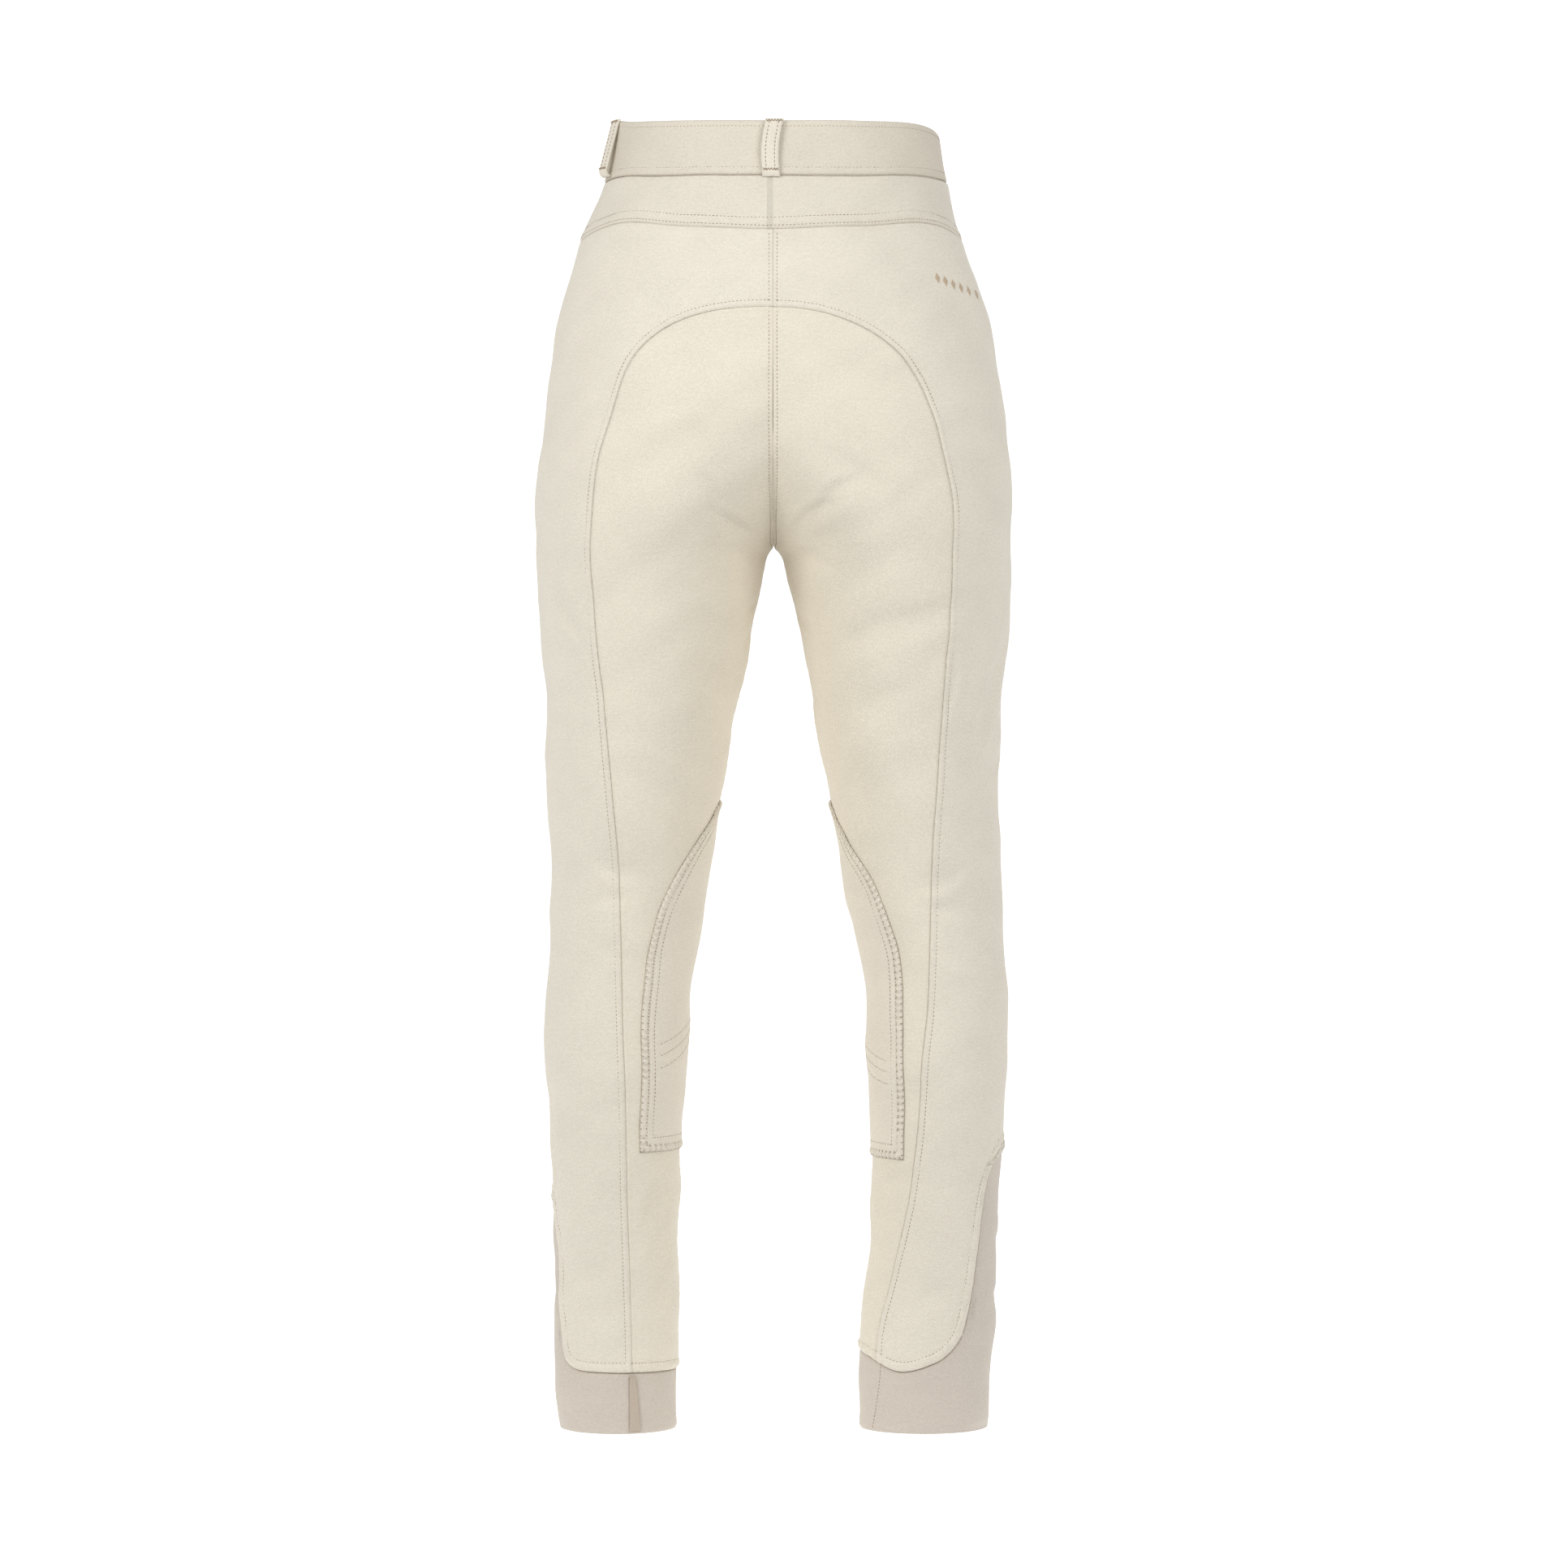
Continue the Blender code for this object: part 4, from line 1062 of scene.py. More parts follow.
def ladder(gap, run):
    """Height and painted shade of the worked edge: plump cells with pits between them."""
    cell = np.abs(np.sin(PI * run / LADDER_PITCH)) ** 0.6
    across = np.clip(gap / LADDER_WIDTH, 0, 1)
    height = 0.0009 * cell * np.sin(PI * across) ** 0.6 - 0.0007 * np.exp(-(gap / 0.0007) ** 2)
    height -= 0.0004 * np.exp(-((gap - LADDER_WIDTH) / 0.0007) ** 2)
    ends = np.exp(-((gap - 0.0010) / 0.0011) ** 2) + np.exp(-((gap - 0.0044) / 0.0010) ** 2)
    height -= 0.0007 * (1 - cell) * ends
    # painted shade in the pits between the cells and in the groove along the ladder's inner border
    shade = 0.30 * (1 - cell) ** 1.5 * ends + 0.06 * np.exp(-((gap - LADDER_WIDTH) / 0.0007) ** 2)
    height -= 0.00035 * np.exp(-((gap - PATCH_ROW) / 0.0007) ** 2)
    height += 0.00025 * np.sin(PI * np.clip((gap - LADDER_WIDTH) / (PATCH_ROW - LADDER_WIDTH), 0, 1))
    return height, np.clip(shade, 0, 0.6)


PATCH_CURVES = {-1: [(51, -.6466, -46, -.6006), (51, -.6550, -46, -.6090), (51, -.6640, -46, -.6180)],
                1: [(44, -.6591, -46, -.6291), (44, -.6670, -46, -.6370), (44, -.6757, -46, -.6457)]}


def curve_path(side, row):
    """One of the curved rows across the patch."""
    t = np.linspace(0, 1, 120)
    angle = -PI + np.radians(row[0] + (row[2] - row[0]) * t)
    z = row[1] + (row[3] - row[1]) * (0.35 * t + 0.65 * t ** 1.6)
    return side, angle, z


PATCH_EDGES = {}


def make_patch(side):
    rows, columns = int(0.30 / (FINE * 0.55)), int(0.125 / (FINE * 0.55))
    back = even(patch_outline(side, True), count=rows)
    front = even(patch_outline(side, False), count=rows)
    top = (side, np.full(columns, -PI), np.full(columns, back[2][0]))
    back[1][0] = front[1][0] = -PI
    low = (side, np.linspace(front[1][-1], back[1][-1], columns), np.full(columns, PATCH_LOW[side]))
    angle, z = blend_sheet(front, back, top, low)
    outline = joined(front, low, (side, back[1][::-1], back[2][::-1]))
    PATCH_EDGES[side] = even(outline, pitch=SEAM_STEP)
    points, out, height, _ = relief(np.broadcast_to(side, z.shape), angle, z, [])
    gap, run = distance_to(tree_of(form(*PATCH_EDGES[side])), points)
    # dark is the painted pit shade; gap, passed on as the ditch distance, paints shade along the outline
    raised, dark = ladder(gap, run)
    for row in PATCH_CURVES[side]:
        near, _ = distance_to(tree_of(form(*even(curve_path(side, row), pitch=SEAM_STEP))), points)
        beside = 0.0002 * np.exp(-((near - 0.003) / 0.002) ** 2)
        raised = raised - 0.00035 * np.exp(-(near / 0.0008) ** 2) + beside
    height = height + PATCH_LIFT + raised
    return lay_grid(sided("knee_patch", side), points + out * height[..., None], out,
                    flat_of(side, angle, z), gap, WALL["patch"], MATERIALS["patch"], shade=dark)


for which in (-1, 1):
    make_patch(which)

# %% [markdown]
# ## Waistband
# The waistband is one length of cloth folded double, so it is thicker and
# stiffer than the legs. Its top edge is a fold, topstitched close to the edge,
# and a second row holds it down above the seam. It goes once round, and its
# tab laps over the other end at the front. We bend one long strip that way.

# %% Waistband
WAIST_HALF = 0.1176
LAP, LAP_STEP = 0.036, 0.0036
RAMP = (0.066, 0.013)
TOP_ROW, LOW_ROW = 0.0044, 0.0060          # rows of stitches from the fold and from the seam


def band_step(side, angle):
    """How far the band stands out where the tab laps over."""
    from_middle = WAIST_HALF * (PI / 2 - angle) * side
    part = np.clip((RAMP[0] - from_middle) / (RAMP[0] - RAMP[1]), 0, 1)
    return LAP_STEP * part * part * (3 - 2 * part)


def make_band():
    columns, rows = int(0.76 / FINE), int(0.041 / (FINE * 0.55))
    turn = np.linspace(-0.003 / WAIST_HALF, 2 * PI + LAP / WAIST_HALF, columns)
    whole = turn % (2 * PI)
    side = np.where((turn < 0) | ((whole > PI) & (turn < 2 * PI)), 1, -1)
    angle = np.where(side < 0, PI / 2 - whole, whole - 1.5 * PI)
    angle = np.where(turn < 0, PI / 2 + turn, angle)
    lapped = np.where(turn > PI, band_step(side, angle), 0)
    part = np.linspace(0, 1, rows)[:, None]
    top, low = band_top(side, angle), edge_height(BAND_SEAM, angle)
    z = top + (low + 0.0003 - top) * part
    side, angle = np.broadcast_to(side, z.shape), np.broadcast_to(angle, z.shape)
    points, out, height, _ = relief(side, angle, z, [], 0.6)
    from_top, from_low = (top - z), (z - low)
    run = np.broadcast_to(turn * WAIST_HALF, z.shape)
    height = height + lapped - 0.0012 * np.exp(-(from_top / 0.0012) ** 2)
    height -= 0.0009 * np.exp(-(from_low / 0.0009) ** 2)
    height += 0.0006 * np.sin(PI * np.clip(from_top / (top - low), 0, 1))
    height += 0.0002 * pucker(run) * np.exp(-(from_low / 0.007) ** 2)
    for gap in (from_top - TOP_ROW, from_low - LOW_ROW):
        height -= 0.00030 * np.exp(-(gap / 0.0007) ** 2)
    uv = np.stack([run, z], -1)
    # painted shade: the band is darker round its sides, and from_low, passed as the ditch distance, paints a
    # shaded line along its seam
    shade = 0.14 * np.exp(-((angle + 0.15) / 0.45) ** 2)
    return lay_grid("waistband", points + out * height[..., None], out, uv, from_low, WALL["band"],
                    MATERIALS["band"], shade=shade)


make_band()

# %% [markdown]
# ## Belt loops, fly and button
# A belt loop is a narrow folded strip, tacked at the top of the band and just
# under its seam, with its lower end turned under so that it stands a little
# proud. The fly flap is the turned edge of the right front, lapped over the
# zip, with a J-shaped row of stitching. Above it the waist button is a plain
# four-hole button: a turned profile, spun once about its axis.

# %% Loops
Loop = namedtuple("Loop", "name side angle slant bow twist")
LOOPS = [
    Loop("belt_loop_back", -1, -90, 0.0024, 0.0, 0.0),
    Loop("belt_loop_left", -1, -15, 0.0, 0.0034, 9.0),
    Loop("belt_loop_right", 1, 24, 0.0, 0.0, 0.0),
    Loop("belt_loop_front_left", -1, 55, 0.0008, 0.0, 0.0),
    Loop("belt_loop_front_right", 1, 55, -0.0008, 0.0, 0.0),
]
LOOP_WIDTH, LOOP_LENGTH, LOOP_TURN = 0.0130, 0.0425, 0.90
LOOP_PLACES = {}


def loop_frame(loop):
    """Middle line of a loop and the directions across it and out of it."""
    part = np.linspace(0, 1, 60)
    angle = np.full(60, np.radians(loop.angle))
    turn = np.clip((part - LOOP_TURN) / (1 - LOOP_TURN), 0, 1) * PI / 2
    down = np.minimum(part, LOOP_TURN) + (1 - LOOP_TURN) * np.sin(turn)
    top = band_top(loop.side, angle) + 0.0006
    z = top - LOOP_LENGTH * down
    out = facing(loop.side, angle, z)
    stand = 0.0020 + np.sin(PI * np.minimum(part, LOOP_TURN)) ** 0.7 * 0.0024 + loop.bow * part ** 1.5
    stand = 0.0010 + (stand - 0.0010) * np.cos(turn)
    stand += band_step(loop.side, angle) * (loop.side > 0)
    middle = form(loop.side, angle, z) + out * stand[:, None]
    across = np.cross(np.array([0, 0, 1.0]), out)
    lean = np.radians(loop.twist)
    across, out = across * np.cos(lean) - out * np.sin(lean), out * np.cos(lean) + across * np.sin(lean)
    middle = middle + across * (loop.slant * (0.5 - part) - loop.slant * 0.9 * np.sin(PI * part))[:, None]
    return middle, across, out, z


def make_loop(loop):
    middle, across, out, z = loop_frame(loop)
    columns = 16
    u = np.linspace(-1, 1, columns)
    points = middle[:, None] + across[:, None] * (u * LOOP_WIDTH / 2)[None, :, None]
    dome = 0.00045 * (1 - u ** 4) - 0.0004 * np.abs(u) ** 12
    dome = dome - 0.00025 * np.exp(-((np.abs(u) - 0.50) / 0.12) ** 2)
    points = points + out[:, None] * dome[None, :, None]
    shape = (len(z), columns)
    # distance to the loop's long edges: the mask of painted shade along them
    ditch = np.broadcast_to((1 - np.abs(u)) * LOOP_WIDTH / 2 + 0.0006, shape)
    uv = np.stack([np.broadcast_to(u * LOOP_WIDTH / 2, shape), np.broadcast_to(z[:, None], shape)], -1)
    LOOP_PLACES[loop.name] = (middle, across, out)
    return lay_grid(loop.name, points, np.broadcast_to(out[:, None], points.shape), uv, ditch,
                    WALL["loop"], MATERIALS["twill"])


for loop in LOOPS:
    make_loop(loop)

# %% [markdown]
# The fly flap keeps to the front form and stands off it by its own folded
# thickness. Its free edge is straight, its far edge curves in to the J.

# %% Fly flap and button
FLY_EDGE, FLY_WIDTH, FLY_LENGTH, FLY_LIFT = -0.004, 0.038, 0.130, 0.0026
FLY_ROWS = (0.0045, 0.0100)


def fly_point(x, z):
    """Side and angle of a point of the front at a distance from the middle."""
    side = np.where(x < 0, -1, 1)
    centre, half, _, _, _ = section(side, np.full(x.shape, PI / 2), z)
    return side, np.arccos(np.clip((np.abs(x) - centre) / half, -1, 1))


def fly_grid(rows, columns):
    u, v = np.meshgrid(np.linspace(0, 1, columns), np.linspace(0, 1, rows))
    x = FLY_EDGE + FLY_WIDTH * u
    low = -FLY_LENGTH + FLY_LENGTH * 0.32 * (1 - np.sqrt(1 - 0.92 * u ** 2))
    top = edge_height(BAND_SEAM, PI / 2 - np.abs(x) / WAIST_HALF) - 0.0008
    return x, top + (BAND_SEAM[-1][1] + low - top) * v, u, v


def make_fly():
    x, z, u, v = fly_grid(70, 26)
    side, angle = fly_point(x, z)
    points, out, height, _ = relief(side, angle, z, [], 0.5)
    free = np.minimum(u * FLY_WIDTH, (1 - v) * 0.120 + 0.004)
    height = height + FLY_LIFT - 0.0008 * np.exp(-(free / 0.0012) ** 2)
    far = np.minimum((1 - u) * FLY_WIDTH, (1 - v) * 0.120)
    height -= 0.0013 * np.exp(-(far / 0.0016) ** 2)
    for row in FLY_ROWS:
        height -= 0.0003 * np.exp(-((far - row) / 0.0008) ** 2)
    uv = np.stack([x, z], -1)
    # the distance to the free and far edges is the mask of painted shade along them
    return lay_grid("fly_flap", points + out * height[..., None], out, uv, np.minimum(far, free),
                    WALL["fly"], MATERIALS["twill"])


def button_material():
    material, tree, shader = new_material("horn-look button", 0.38)
    place = add(tree, "TexCoord", -900, 0)
    noise = add(tree, "TexNoise", -650, 0, Scale=260.0, Detail=4.0, Distortion=1.2)
    tree.links.new(place.outputs["Object"], noise.inputs["Vector"])
    ramp = add(tree, "ValToRGB", -400, 0)
    ramp.color_ramp.elements[0].color = srgb(150, 132, 110)
    ramp.color_ramp.elements[1].color = srgb(198, 184, 163)
    tree.links.new(noise.outputs[0], ramp.inputs[0])
    tree.links.new(ramp.outputs[0], shader.inputs["Base Color"])
    return material


def standing(point, out):
    """The place of something that stands on the cloth and faces out."""
    place = Vector(out).to_track_quat("Z", "Y").to_matrix().to_4x4()
    place.translation = point
    return place


def make_button():
    profile = [(0, .0045), (.0048, .0045), (.0060, .0052), (.0072, .0056), (.0081, .0052), (.0085, .0043),
               (.0084, .0034), (.0076, .0030), (.0030, .0030), (.0030, .0004), (0, .0004)]
    bm = bmesh.new()
    ring = [bm.verts.new((x, 0, z)) for x, z in profile]
    edges = [bm.edges.new(pair) for pair in zip(ring, ring[1:])]
    bmesh.ops.spin(bm, geom=ring + edges, axis=(0, 0, 1), cent=(0, 0, 0), steps=48,
                   angle=2 * PI, use_merge=True)
    bmesh.ops.remove_doubles(bm, verts=bm.verts, dist=0.00002)
    bmesh.ops.recalc_face_normals(bm, faces=bm.faces)
    angle = PI / 2 - LAP / 2 / WAIST_HALF
    z = (float(band_top(-1, angle)) + float(edge_height(BAND_SEAM, angle))) / 2
    lean = Vector(facing(-1, np.array(angle), z))
    place = standing(Vector(form(-1, np.array(angle), z)) + lean * (LAP_STEP + 0.0008), lean)
    bmesh.ops.transform(bm, matrix=place, verts=bm.verts)
    button = object_from("waist_button", bm, button_material())
    PIECES["waist_button"] = {"object": button, "area": 0, "uv": None}
    return button, place


make_fly()
button, button_place = make_button()

# %% [markdown]
# ## Stitching
# Each visible stitch is a short thread that rises from the cloth and dives
# back in, so a row reads as a chain of small dashes in its own groove. We make
# one stitch as a stretched ball, then copy it along every row. Joining the
# copies of a group into one mesh keeps thousands of them light.

# %% Stitches
THREAD = {}


def stitch_shape():
    bm = bmesh.new()
    bmesh.ops.create_uvsphere(bm, u_segments=5, v_segments=4, radius=0.5)
    verts = np.array([v.co[:] for v in bm.verts])
    bm.verts.ensure_lookup_table()
    faces = [[v.index for v in face.verts] for face in bm.faces]
    bm.free()
    verts = verts[:, [2, 1, 0]]
    verts[:, 2] -= 0.45 * (2 * verts[:, 0]) ** 4
    return verts, [face[::-1] for face in faces]


STITCH_VERTS, STITCH_FACES = stitch_shape()


def stitches(group_name, points, out, length=0.0019, thick=0.00056, lift=0.00010):
    """Adds one stitch at each step of a row of points."""
    middle = (points[1:] + points[:-1]) / 2
    along = points[1:] - points[:-1]
    along /= np.linalg.norm(along, axis=-1, keepdims=True)
    up = (out[1:] + out[:-1]) / 2
    up -= along * (up * along).sum(-1, keepdims=True)
    up /= np.linalg.norm(up, axis=-1, keepdims=True)
    aside = np.cross(up, along)
    shape = STITCH_VERTS * np.array([length, thick, thick])
    placed = (middle[:, None] + up[:, None] * lift + along[:, None] * shape[None, :, 0:1]
              + aside[:, None] * shape[None, :, 1:2] + up[:, None] * shape[None, :, 2:3])
    THREAD.setdefault(group_name, []).append(placed)


def stitch_path(group_name, path, edges, pitch=0.0028, extra=0.0, soft=1.0, **sizes):
    """Stitches along a path on a piece with these seam edges."""
    side, angle, z = even(path, pitch=pitch)
    points, out, height, _ = relief(np.broadcast_to(side, z.shape), angle, z, edges, soft)
    stitches(group_name, points + out * (height + extra)[:, None], out, **sizes)


def stitch_line(group_name, points, out, pitch=0.0028):
    """Stitches in even steps along a line of points."""
    run = np.concatenate([[0], np.cumsum(np.linalg.norm(np.diff(points, axis=0), axis=-1))])
    at = np.linspace(0, run[-1], int(run[-1] / pitch))
    stitches(group_name, np.stack([np.interp(at, run, points[:, k]) for k in range(3)], -1),
             np.stack([np.interp(at, run, out[:, k]) for k in range(3)], -1))


def beside(path, away):
    """A row that runs beside a seam."""
    return nudged(even(path, pitch=0.001), away)


def trimmed(path, start, end):
    """A path without its ends."""
    return part_of(even(path, count=1001), start, end)


BackSeam = namedtuple("BackSeam", "top_angle low_angle top lift")
CUFF_BACK = {-1: BackSeam(-104.0, -109.5, -0.8885, 0.0006), 1: BackSeam(-133.0, -142.5, -0.8800, -0.0006)}
for which in (-1, 1):
    seams = SEAMS[which]
    stitch_path("seat_stitching", trimmed(beside(seams["arch"], ARCH_ROW), 0.002, 0.992), EDGES["hip"])
    centre = trimmed(beside(seams["centre_back"], CENTRE_ROW), 0.008, 0.985)
    stitch_path("seat_stitching", centre, EDGES["seat"])
    for away in YOKE_ROWS:
        stitch_path("yoke_stitching", trimmed(beside(seams["yoke"], away), 0.0, 0.995), EDGES["yoke"])
    stitch_path("cuff_stitching", beside(seams["cuff"], CUFF_ROW), EDGES["hip"])
    row = CUFF_BACK[which]
    z = np.linspace(row.top, -0.9285, 60)
    angle = np.radians(np.linspace(row.top_angle, row.low_angle, 60))
    stitch_path("cuff_stitching", (which, angle, z), [], extra=row.lift, pitch=0.0026)
print("rows so far:", {name: sum(len(p) for p in rows) for name, rows in THREAD.items()}, "stitches")

# %% [markdown]
# The band, the loops, the fly and the patches carry their own rows. The
# ladder's rungs are longer, thicker threads laid across the patch's edge.

# %% Stitches on band, loops, fly and patches
def band_row(offset_top=None, offset_low=None):
    turn = np.linspace(0.002, 2 * PI + (LAP - 0.003) / WAIST_HALF, 1200)
    whole = turn % (2 * PI)
    side = np.where((whole > PI) & (turn < 2 * PI), 1, -1)
    angle = np.where(side < 0, PI / 2 - whole, whole - 1.5 * PI)
    top, low = band_top(side, angle), edge_height(BAND_SEAM, angle)
    z = top - offset_top if offset_low is None else low + offset_low
    points, out, height, _ = relief(side, angle, z, [], 0.6)
    lapped = np.where(turn > PI, band_step(side, angle), 0)
    height = height + lapped + 0.0006 * np.sin(PI * (top - z) / (top - low)) - 0.0003
    stitch_line("band_stitching", points + out * height[:, None], out)


band_row(offset_top=TOP_ROW)
band_row(offset_low=LOW_ROW)

for loop in LOOPS:
    middle, across, out = LOOP_PLACES[loop.name]
    for edge in (-1, 1):
        row = middle + across * edge * 0.50 * LOOP_WIDTH / 2 + out * 0.0003
        stitches("loop_stitching", row[2:-4:4], out[2:-4:4], length=0.0020)
    tack = np.linspace(-0.45, 0.45, 12)[:, None] * LOOP_WIDTH
    zigzag = np.array([0.0009, -0.0009] * 6)[:, None] * np.array([0, 0, 1.0])
    for k in (2, 52):
        row = middle[k] + across[k] * tack + zigzag + out[k] * 0.0005
        stitches("loop_stitching", row, np.broadcast_to(out[k], row.shape), length=0.0024, thick=0.0006)

for inset in FLY_ROWS:
    part = np.linspace(0, 1, 400)
    reach = 0.034 - inset - 0.030 * np.clip((part - 0.72) / 0.28, 0, 1) ** 2.4
    height_z = BAND_SEAM[-1][1] - 0.003 - (0.119 - inset) * part
    side, angle = fly_point(reach, height_z)
    points, out, height, _ = relief(side, angle, height_z, [], 0.5)
    stitch_line("fly_stitching", points + out * (height + FLY_LIFT - 0.0002)[:, None], out)

for which in (-1, 1):
    outline = even(PATCH_EDGES[which], pitch=SEAM_STEP)
    inner = nudged(outline, PATCH_ROW)
    keep = slice(14, -14)
    stitch_path("patch_stitching", (which, inner[1][keep], inner[2][keep]), [], extra=PATCH_LIFT - 0.0002)
    for row in PATCH_CURVES[which]:
        curve = trimmed(curve_path(which, row), 0.02, 0.98)
        stitch_path("patch_stitching", curve, [], extra=PATCH_LIFT - 0.0002)
    _, angle, z = even(PATCH_EDGES[which], pitch=LADDER_PITCH)
    for near, far in ((0.0002, 0.0023), (0.0034, 0.0057)):
        ends = []
        for away in (near, far):
            path = nudged((which, angle, z), away)
            points, out, height, _ = relief(np.broadcast_to(which, z.shape), path[1], path[2], [])
            ends.append((points + out * (height + PATCH_LIFT - 0.0002)[:, None], out))
        for k in range(1, len(z) - 1):
            pair = np.stack([ends[0][0][k], ends[1][0][k]])
            lean = np.stack([ends[0][1][k], ends[1][1][k]])
            stitches("patch_ladder", pair, lean, length=0.0026, thick=0.00075)
    border = beside(PATCH_EDGES[which], LADDER_WIDTH)
    stitch_path("patch_stitching", (which, border[1][12:-12], border[2][12:-12]), [],
                extra=PATCH_LIFT - 0.0001, pitch=LADDER_PITCH / 2, length=0.0012, thick=0.0005)

cross = np.array([[-0.0016, -0.0016, 0], [0.0016, 0.0016, 0], [-0.0016, 0.0016, 0], [0.0016, -0.0016, 0]])
for k in (0, 2):
    ends = np.array([(button_place @ Vector(cross[k + j] + np.array([0, 0, 0.0046])))[:] for j in (0, 1)])
    lean = np.array((button_place.to_3x3() @ Vector((0, 0, 1)))[:])
    stitches("band_stitching", ends, np.stack([lean, lean]), length=0.0044, thick=0.0008)


def make_thread(name, material):
    placed = np.concatenate(THREAD[name])
    mesh = bpy.data.meshes.new(name)
    size = len(STITCH_VERTS)
    faces = [[i + k * size for i in face] for k in range(len(placed)) for face in STITCH_FACES]
    mesh.from_pydata(placed.reshape(-1, 3).tolist(), [], faces)
    print(name, len(placed), "stitches")
    return object_of(name, mesh, material)


THREADS = {}
for name in sorted(THREAD):
    # the patch ladder takes the darker rung thread, painted pit shade
    THREADS[name] = make_thread(name, MATERIALS["rung" if name == "patch_ladder" else "thread"])

# %% [markdown]
# ## A small motif on the hip
# The right hip carries a short line of tone-on-tone embroidery. Ours is a row
# of plain lozenges, each a low satin-stitch pad, set on the slant of the hip.

# %% Hip motif
def make_motif():
    bm = bmesh.new()
    for k in range(6):
        part = k / 5
        z = np.array(-0.0915 - 0.0085 * part)
        reach = 0.1190 + 0.0290 * part
        centre, half, _, _, _ = section(np.array(1), np.array(-1.0), z)
        angle = -np.arccos((reach - centre) / half)
        points, out, height, _ = relief(np.array([1]), np.array([angle]), np.array([float(z)]), [])
        lean = Vector(out[0])
        place = standing(Vector(points[0]) + lean * float(height[0] + 0.00025), lean)
        made = bmesh.ops.create_cone(bm, cap_ends=True, segments=4, radius1=0.0044, radius2=0.0030,
                                     depth=0.0007)
        spread = Matrix.Diagonal((0.62, 1.0, 1.0, 1.0))
        bmesh.ops.transform(bm, matrix=place @ spread, verts=made["verts"])
    bmesh.ops.bevel(bm, geom=bm.edges[:], offset=0.00018, offset_type="OFFSET", segments=2, profile=0.5,
                    affect="EDGES", material=-1)
    bmesh.ops.recalc_face_normals(bm, faces=bm.faces)
    return object_from("hip_motif", bm, MATERIALS["embroidery"])


motif = make_motif()

# %% [markdown]
# ## Each piece in place of its plain solid
# Each finished piece replaces the plain solid of the same name and rides on the
# one body. The cloth pieces also print how big they were cut, measured off the form.

# %% Pieces in place and their cut sizes
CLOTH = [name for name in PIECES if name != "waist_button"]
for name, facts in PIECES.items():
    piece = facts["object"]
    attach(piece, "root")
    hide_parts(name)
for name, thread in {**THREADS, "hip_motif": motif}.items():
    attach(thread, "root")
for name in CLOTH:
    uv, area = PIECES[name]["uv"], PIECES[name]["area"]
    width = max(float(np.ptp(uv[..., 0])), 0.012)
    length = max(float(np.ptp(uv[..., 1])), area / width)
    if name.startswith("cuff_") and "tape" not in name:
        width = max(width, area / length)
    area = min(max(area, 0.31 * width * length), width * length)
    print(f"{name}: cut {width:.3f} x {length:.3f} m, {area * 1e4:.0f} cm2")

# %% [markdown]
# ## Studio
# A pale floor a little below the hems sweeps up into a white wall, with no line
# between them. The light comes from all round and a little more from the left
# front, so the broad faces stay even and the far sides turn gently into shade.
# The camera stands level with the knees at a little over three metres, so the
# waistband shows its gentle curve.

# %% Floor, lights and camera
Fade = namedtuple("Fade", "socket y near far low high")
FADES = [Fade("Emission Color", 0, -0.20, -0.04, 0.0, 0.66),
         Fade("Base Color", 300, -0.60, -0.04, 0.48, 0.80)]


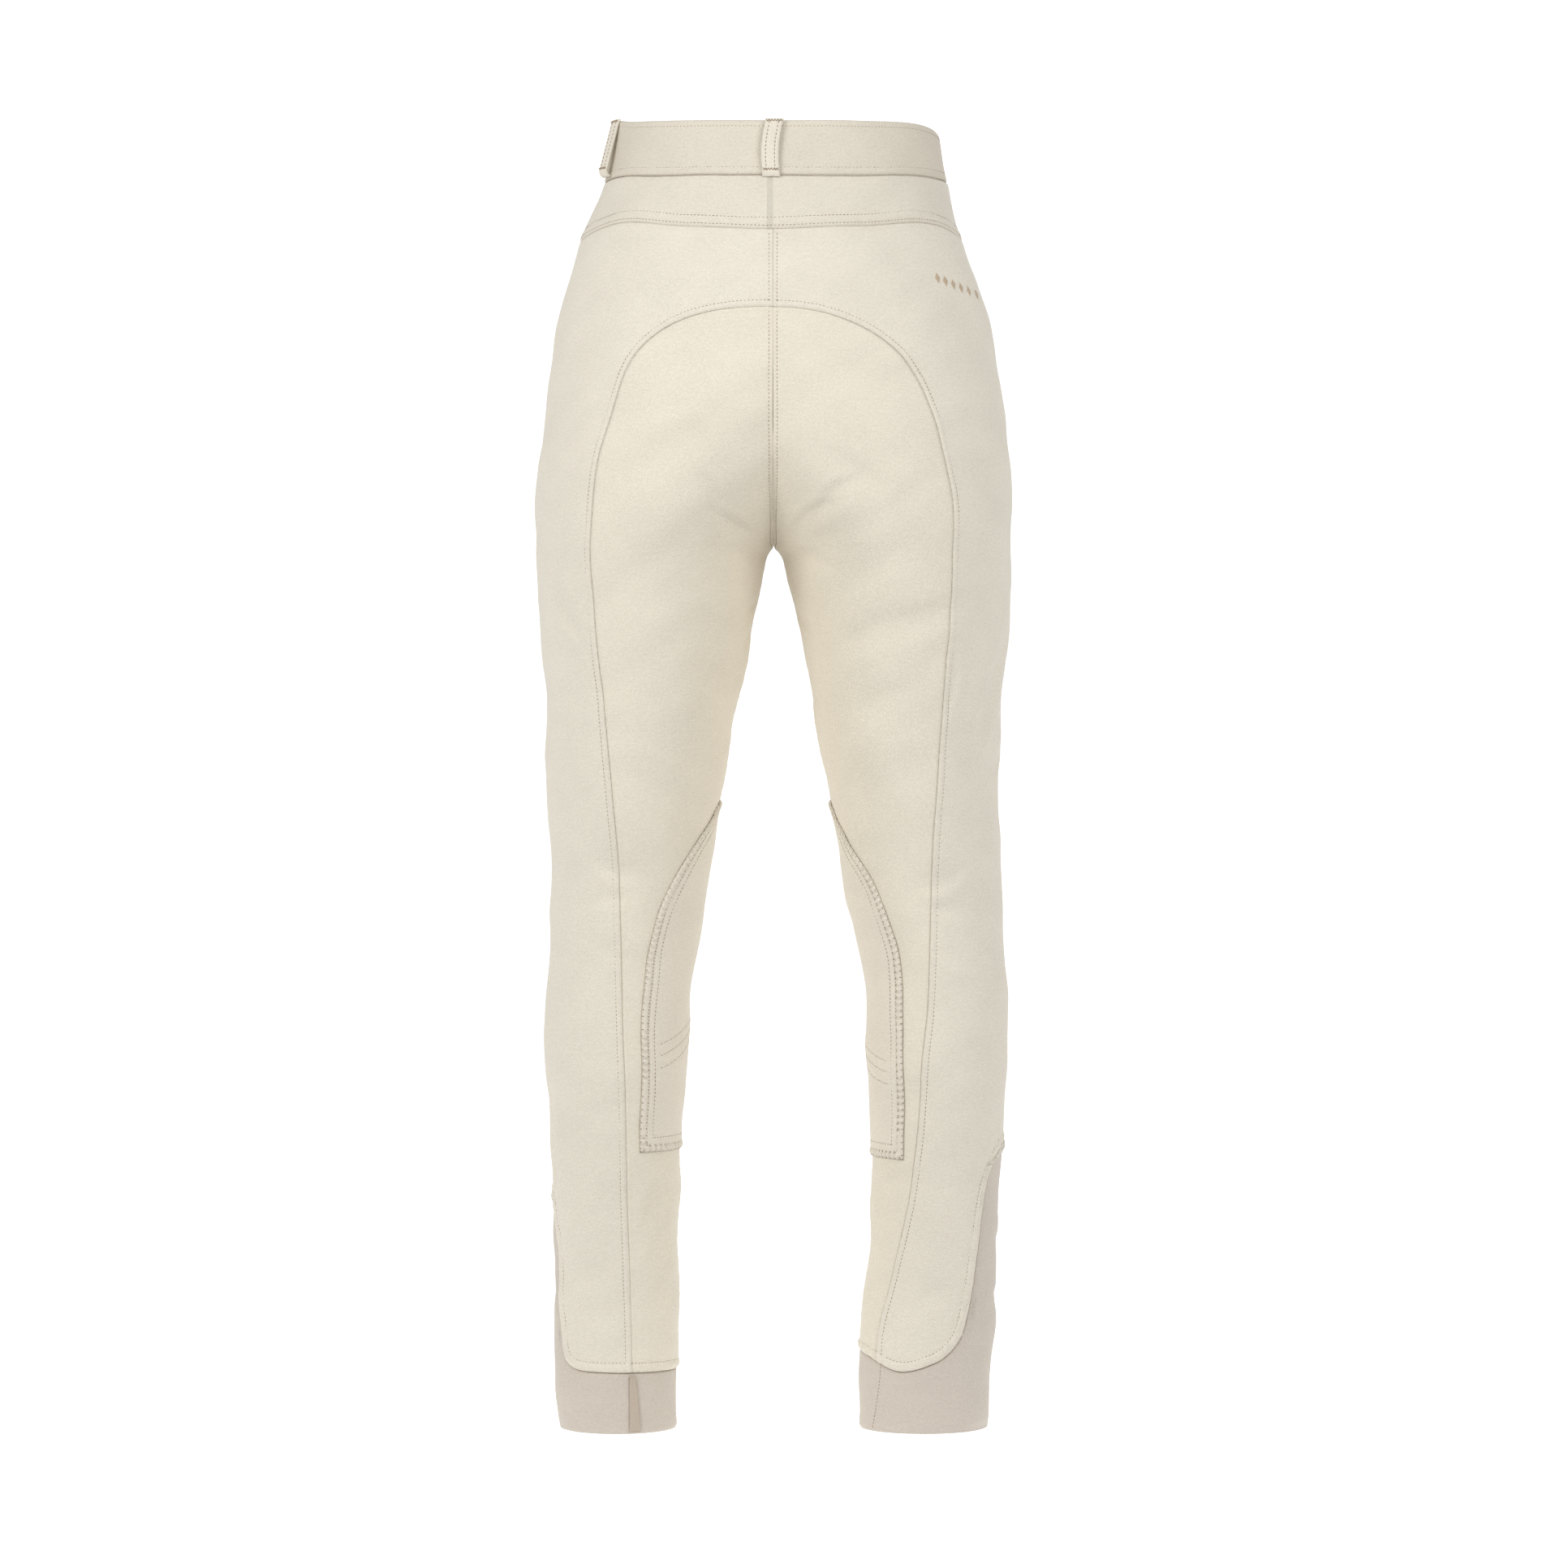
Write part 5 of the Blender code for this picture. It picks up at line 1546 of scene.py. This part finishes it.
def backdrop_material():
    """White; its paint and its glow fade in front of the garment, so the hems stay in softer light."""
    material, tree, shader = new_material("white backdrop", 0.9)
    shader.inputs["Specular IOR Level"].default_value = 0.1
    shader.inputs["Emission Strength"].default_value = 1.0
    place = add(tree, "TexCoord", -900, 0)
    parts = add(tree, "SeparateXYZ", -700, 0)
    tree.links.new(place.outputs["Object"], parts.inputs[0])
    for fade in FADES:
        ramp = add(tree, "MapRange", -500, fade.y, interpolation_type="SMOOTHSTEP")
        for name, value in zip(("From Min", "From Max", "To Min", "To Max"), fade[2:]):
            ramp.inputs[name].default_value = value
        tree.links.new(parts.outputs[1], ramp.inputs["Value"])
        tree.links.new(dimmed(tree, -250, fade.y, (1, 1, 1), ramp.outputs[0]), shader.inputs[fade.socket])
    return material


def make_backdrop():
    """Floor, cove and wall: one line extruded sideways."""
    bm = bmesh.new()
    turn = np.linspace(0, PI / 2, 17)
    line = [(-1.2, -1.03)] + [(3.0 + 1.5 * np.sin(t), 0.47 - 1.5 * np.cos(t)) for t in turn] + [(4.5, 6.0)]
    ring = [bm.verts.new((-2.2, y, z)) for y, z in line]
    edges = [bm.edges.new(pair) for pair in zip(ring, ring[1:])]
    made = bmesh.ops.extrude_edge_only(bm, edges=edges)
    moved = [item for item in made["geom"] if isinstance(item, bmesh.types.BMVert)]
    bmesh.ops.translate(bm, verts=moved, vec=(4.4, 0, 0))
    bmesh.ops.recalc_face_normals(bm, faces=bm.faces)
    object_from("backdrop", bm, backdrop_material())


make_backdrop()


def lamp(name, location, target, size, power):
    light = bpy.data.lights.new(name, "AREA")
    light.shape, light.size, light.energy = "DISK", size, power
    thing = bpy.data.objects.new(name, light)
    thing.location = location
    thing.rotation_euler = (Vector(target) - Vector(location)).to_track_quat("-Z", "Y").to_euler()
    bpy.context.scene.collection.objects.link(thing)


lamp("key", (-1.50, -1.75, 0.58), (0, 0, -0.26), 1.4, 25)
lamp("fill", (1.45, -1.8, 0.55), (0, 0, -0.26), 1.4, 18)
lamp("back", (0.4, 2.4, 1.2), (0, 0, -0.4), 1.6, 8)
world = bpy.data.worlds.new("studio")
world.use_nodes = True
world.node_tree.nodes["Background"].inputs["Color"].default_value = (1, 1, 1, 1)
world.node_tree.nodes["Background"].inputs["Strength"].default_value = 0.49
bpy.context.scene.world = world
bpy.context.scene.view_settings.view_transform = "Standard"

camera_data = bpy.data.cameras.new("camera")
camera_data.lens = 99.4
camera_data.sensor_width = 36
camera_data.dof.use_dof = False
camera = bpy.data.objects.new("camera", camera_data)
camera.location = (0.0078, -3.2, -0.457)
camera.rotation_euler = (PI / 2, 0, 0)
bpy.context.scene.collection.objects.link(camera)
bpy.context.scene.camera = camera
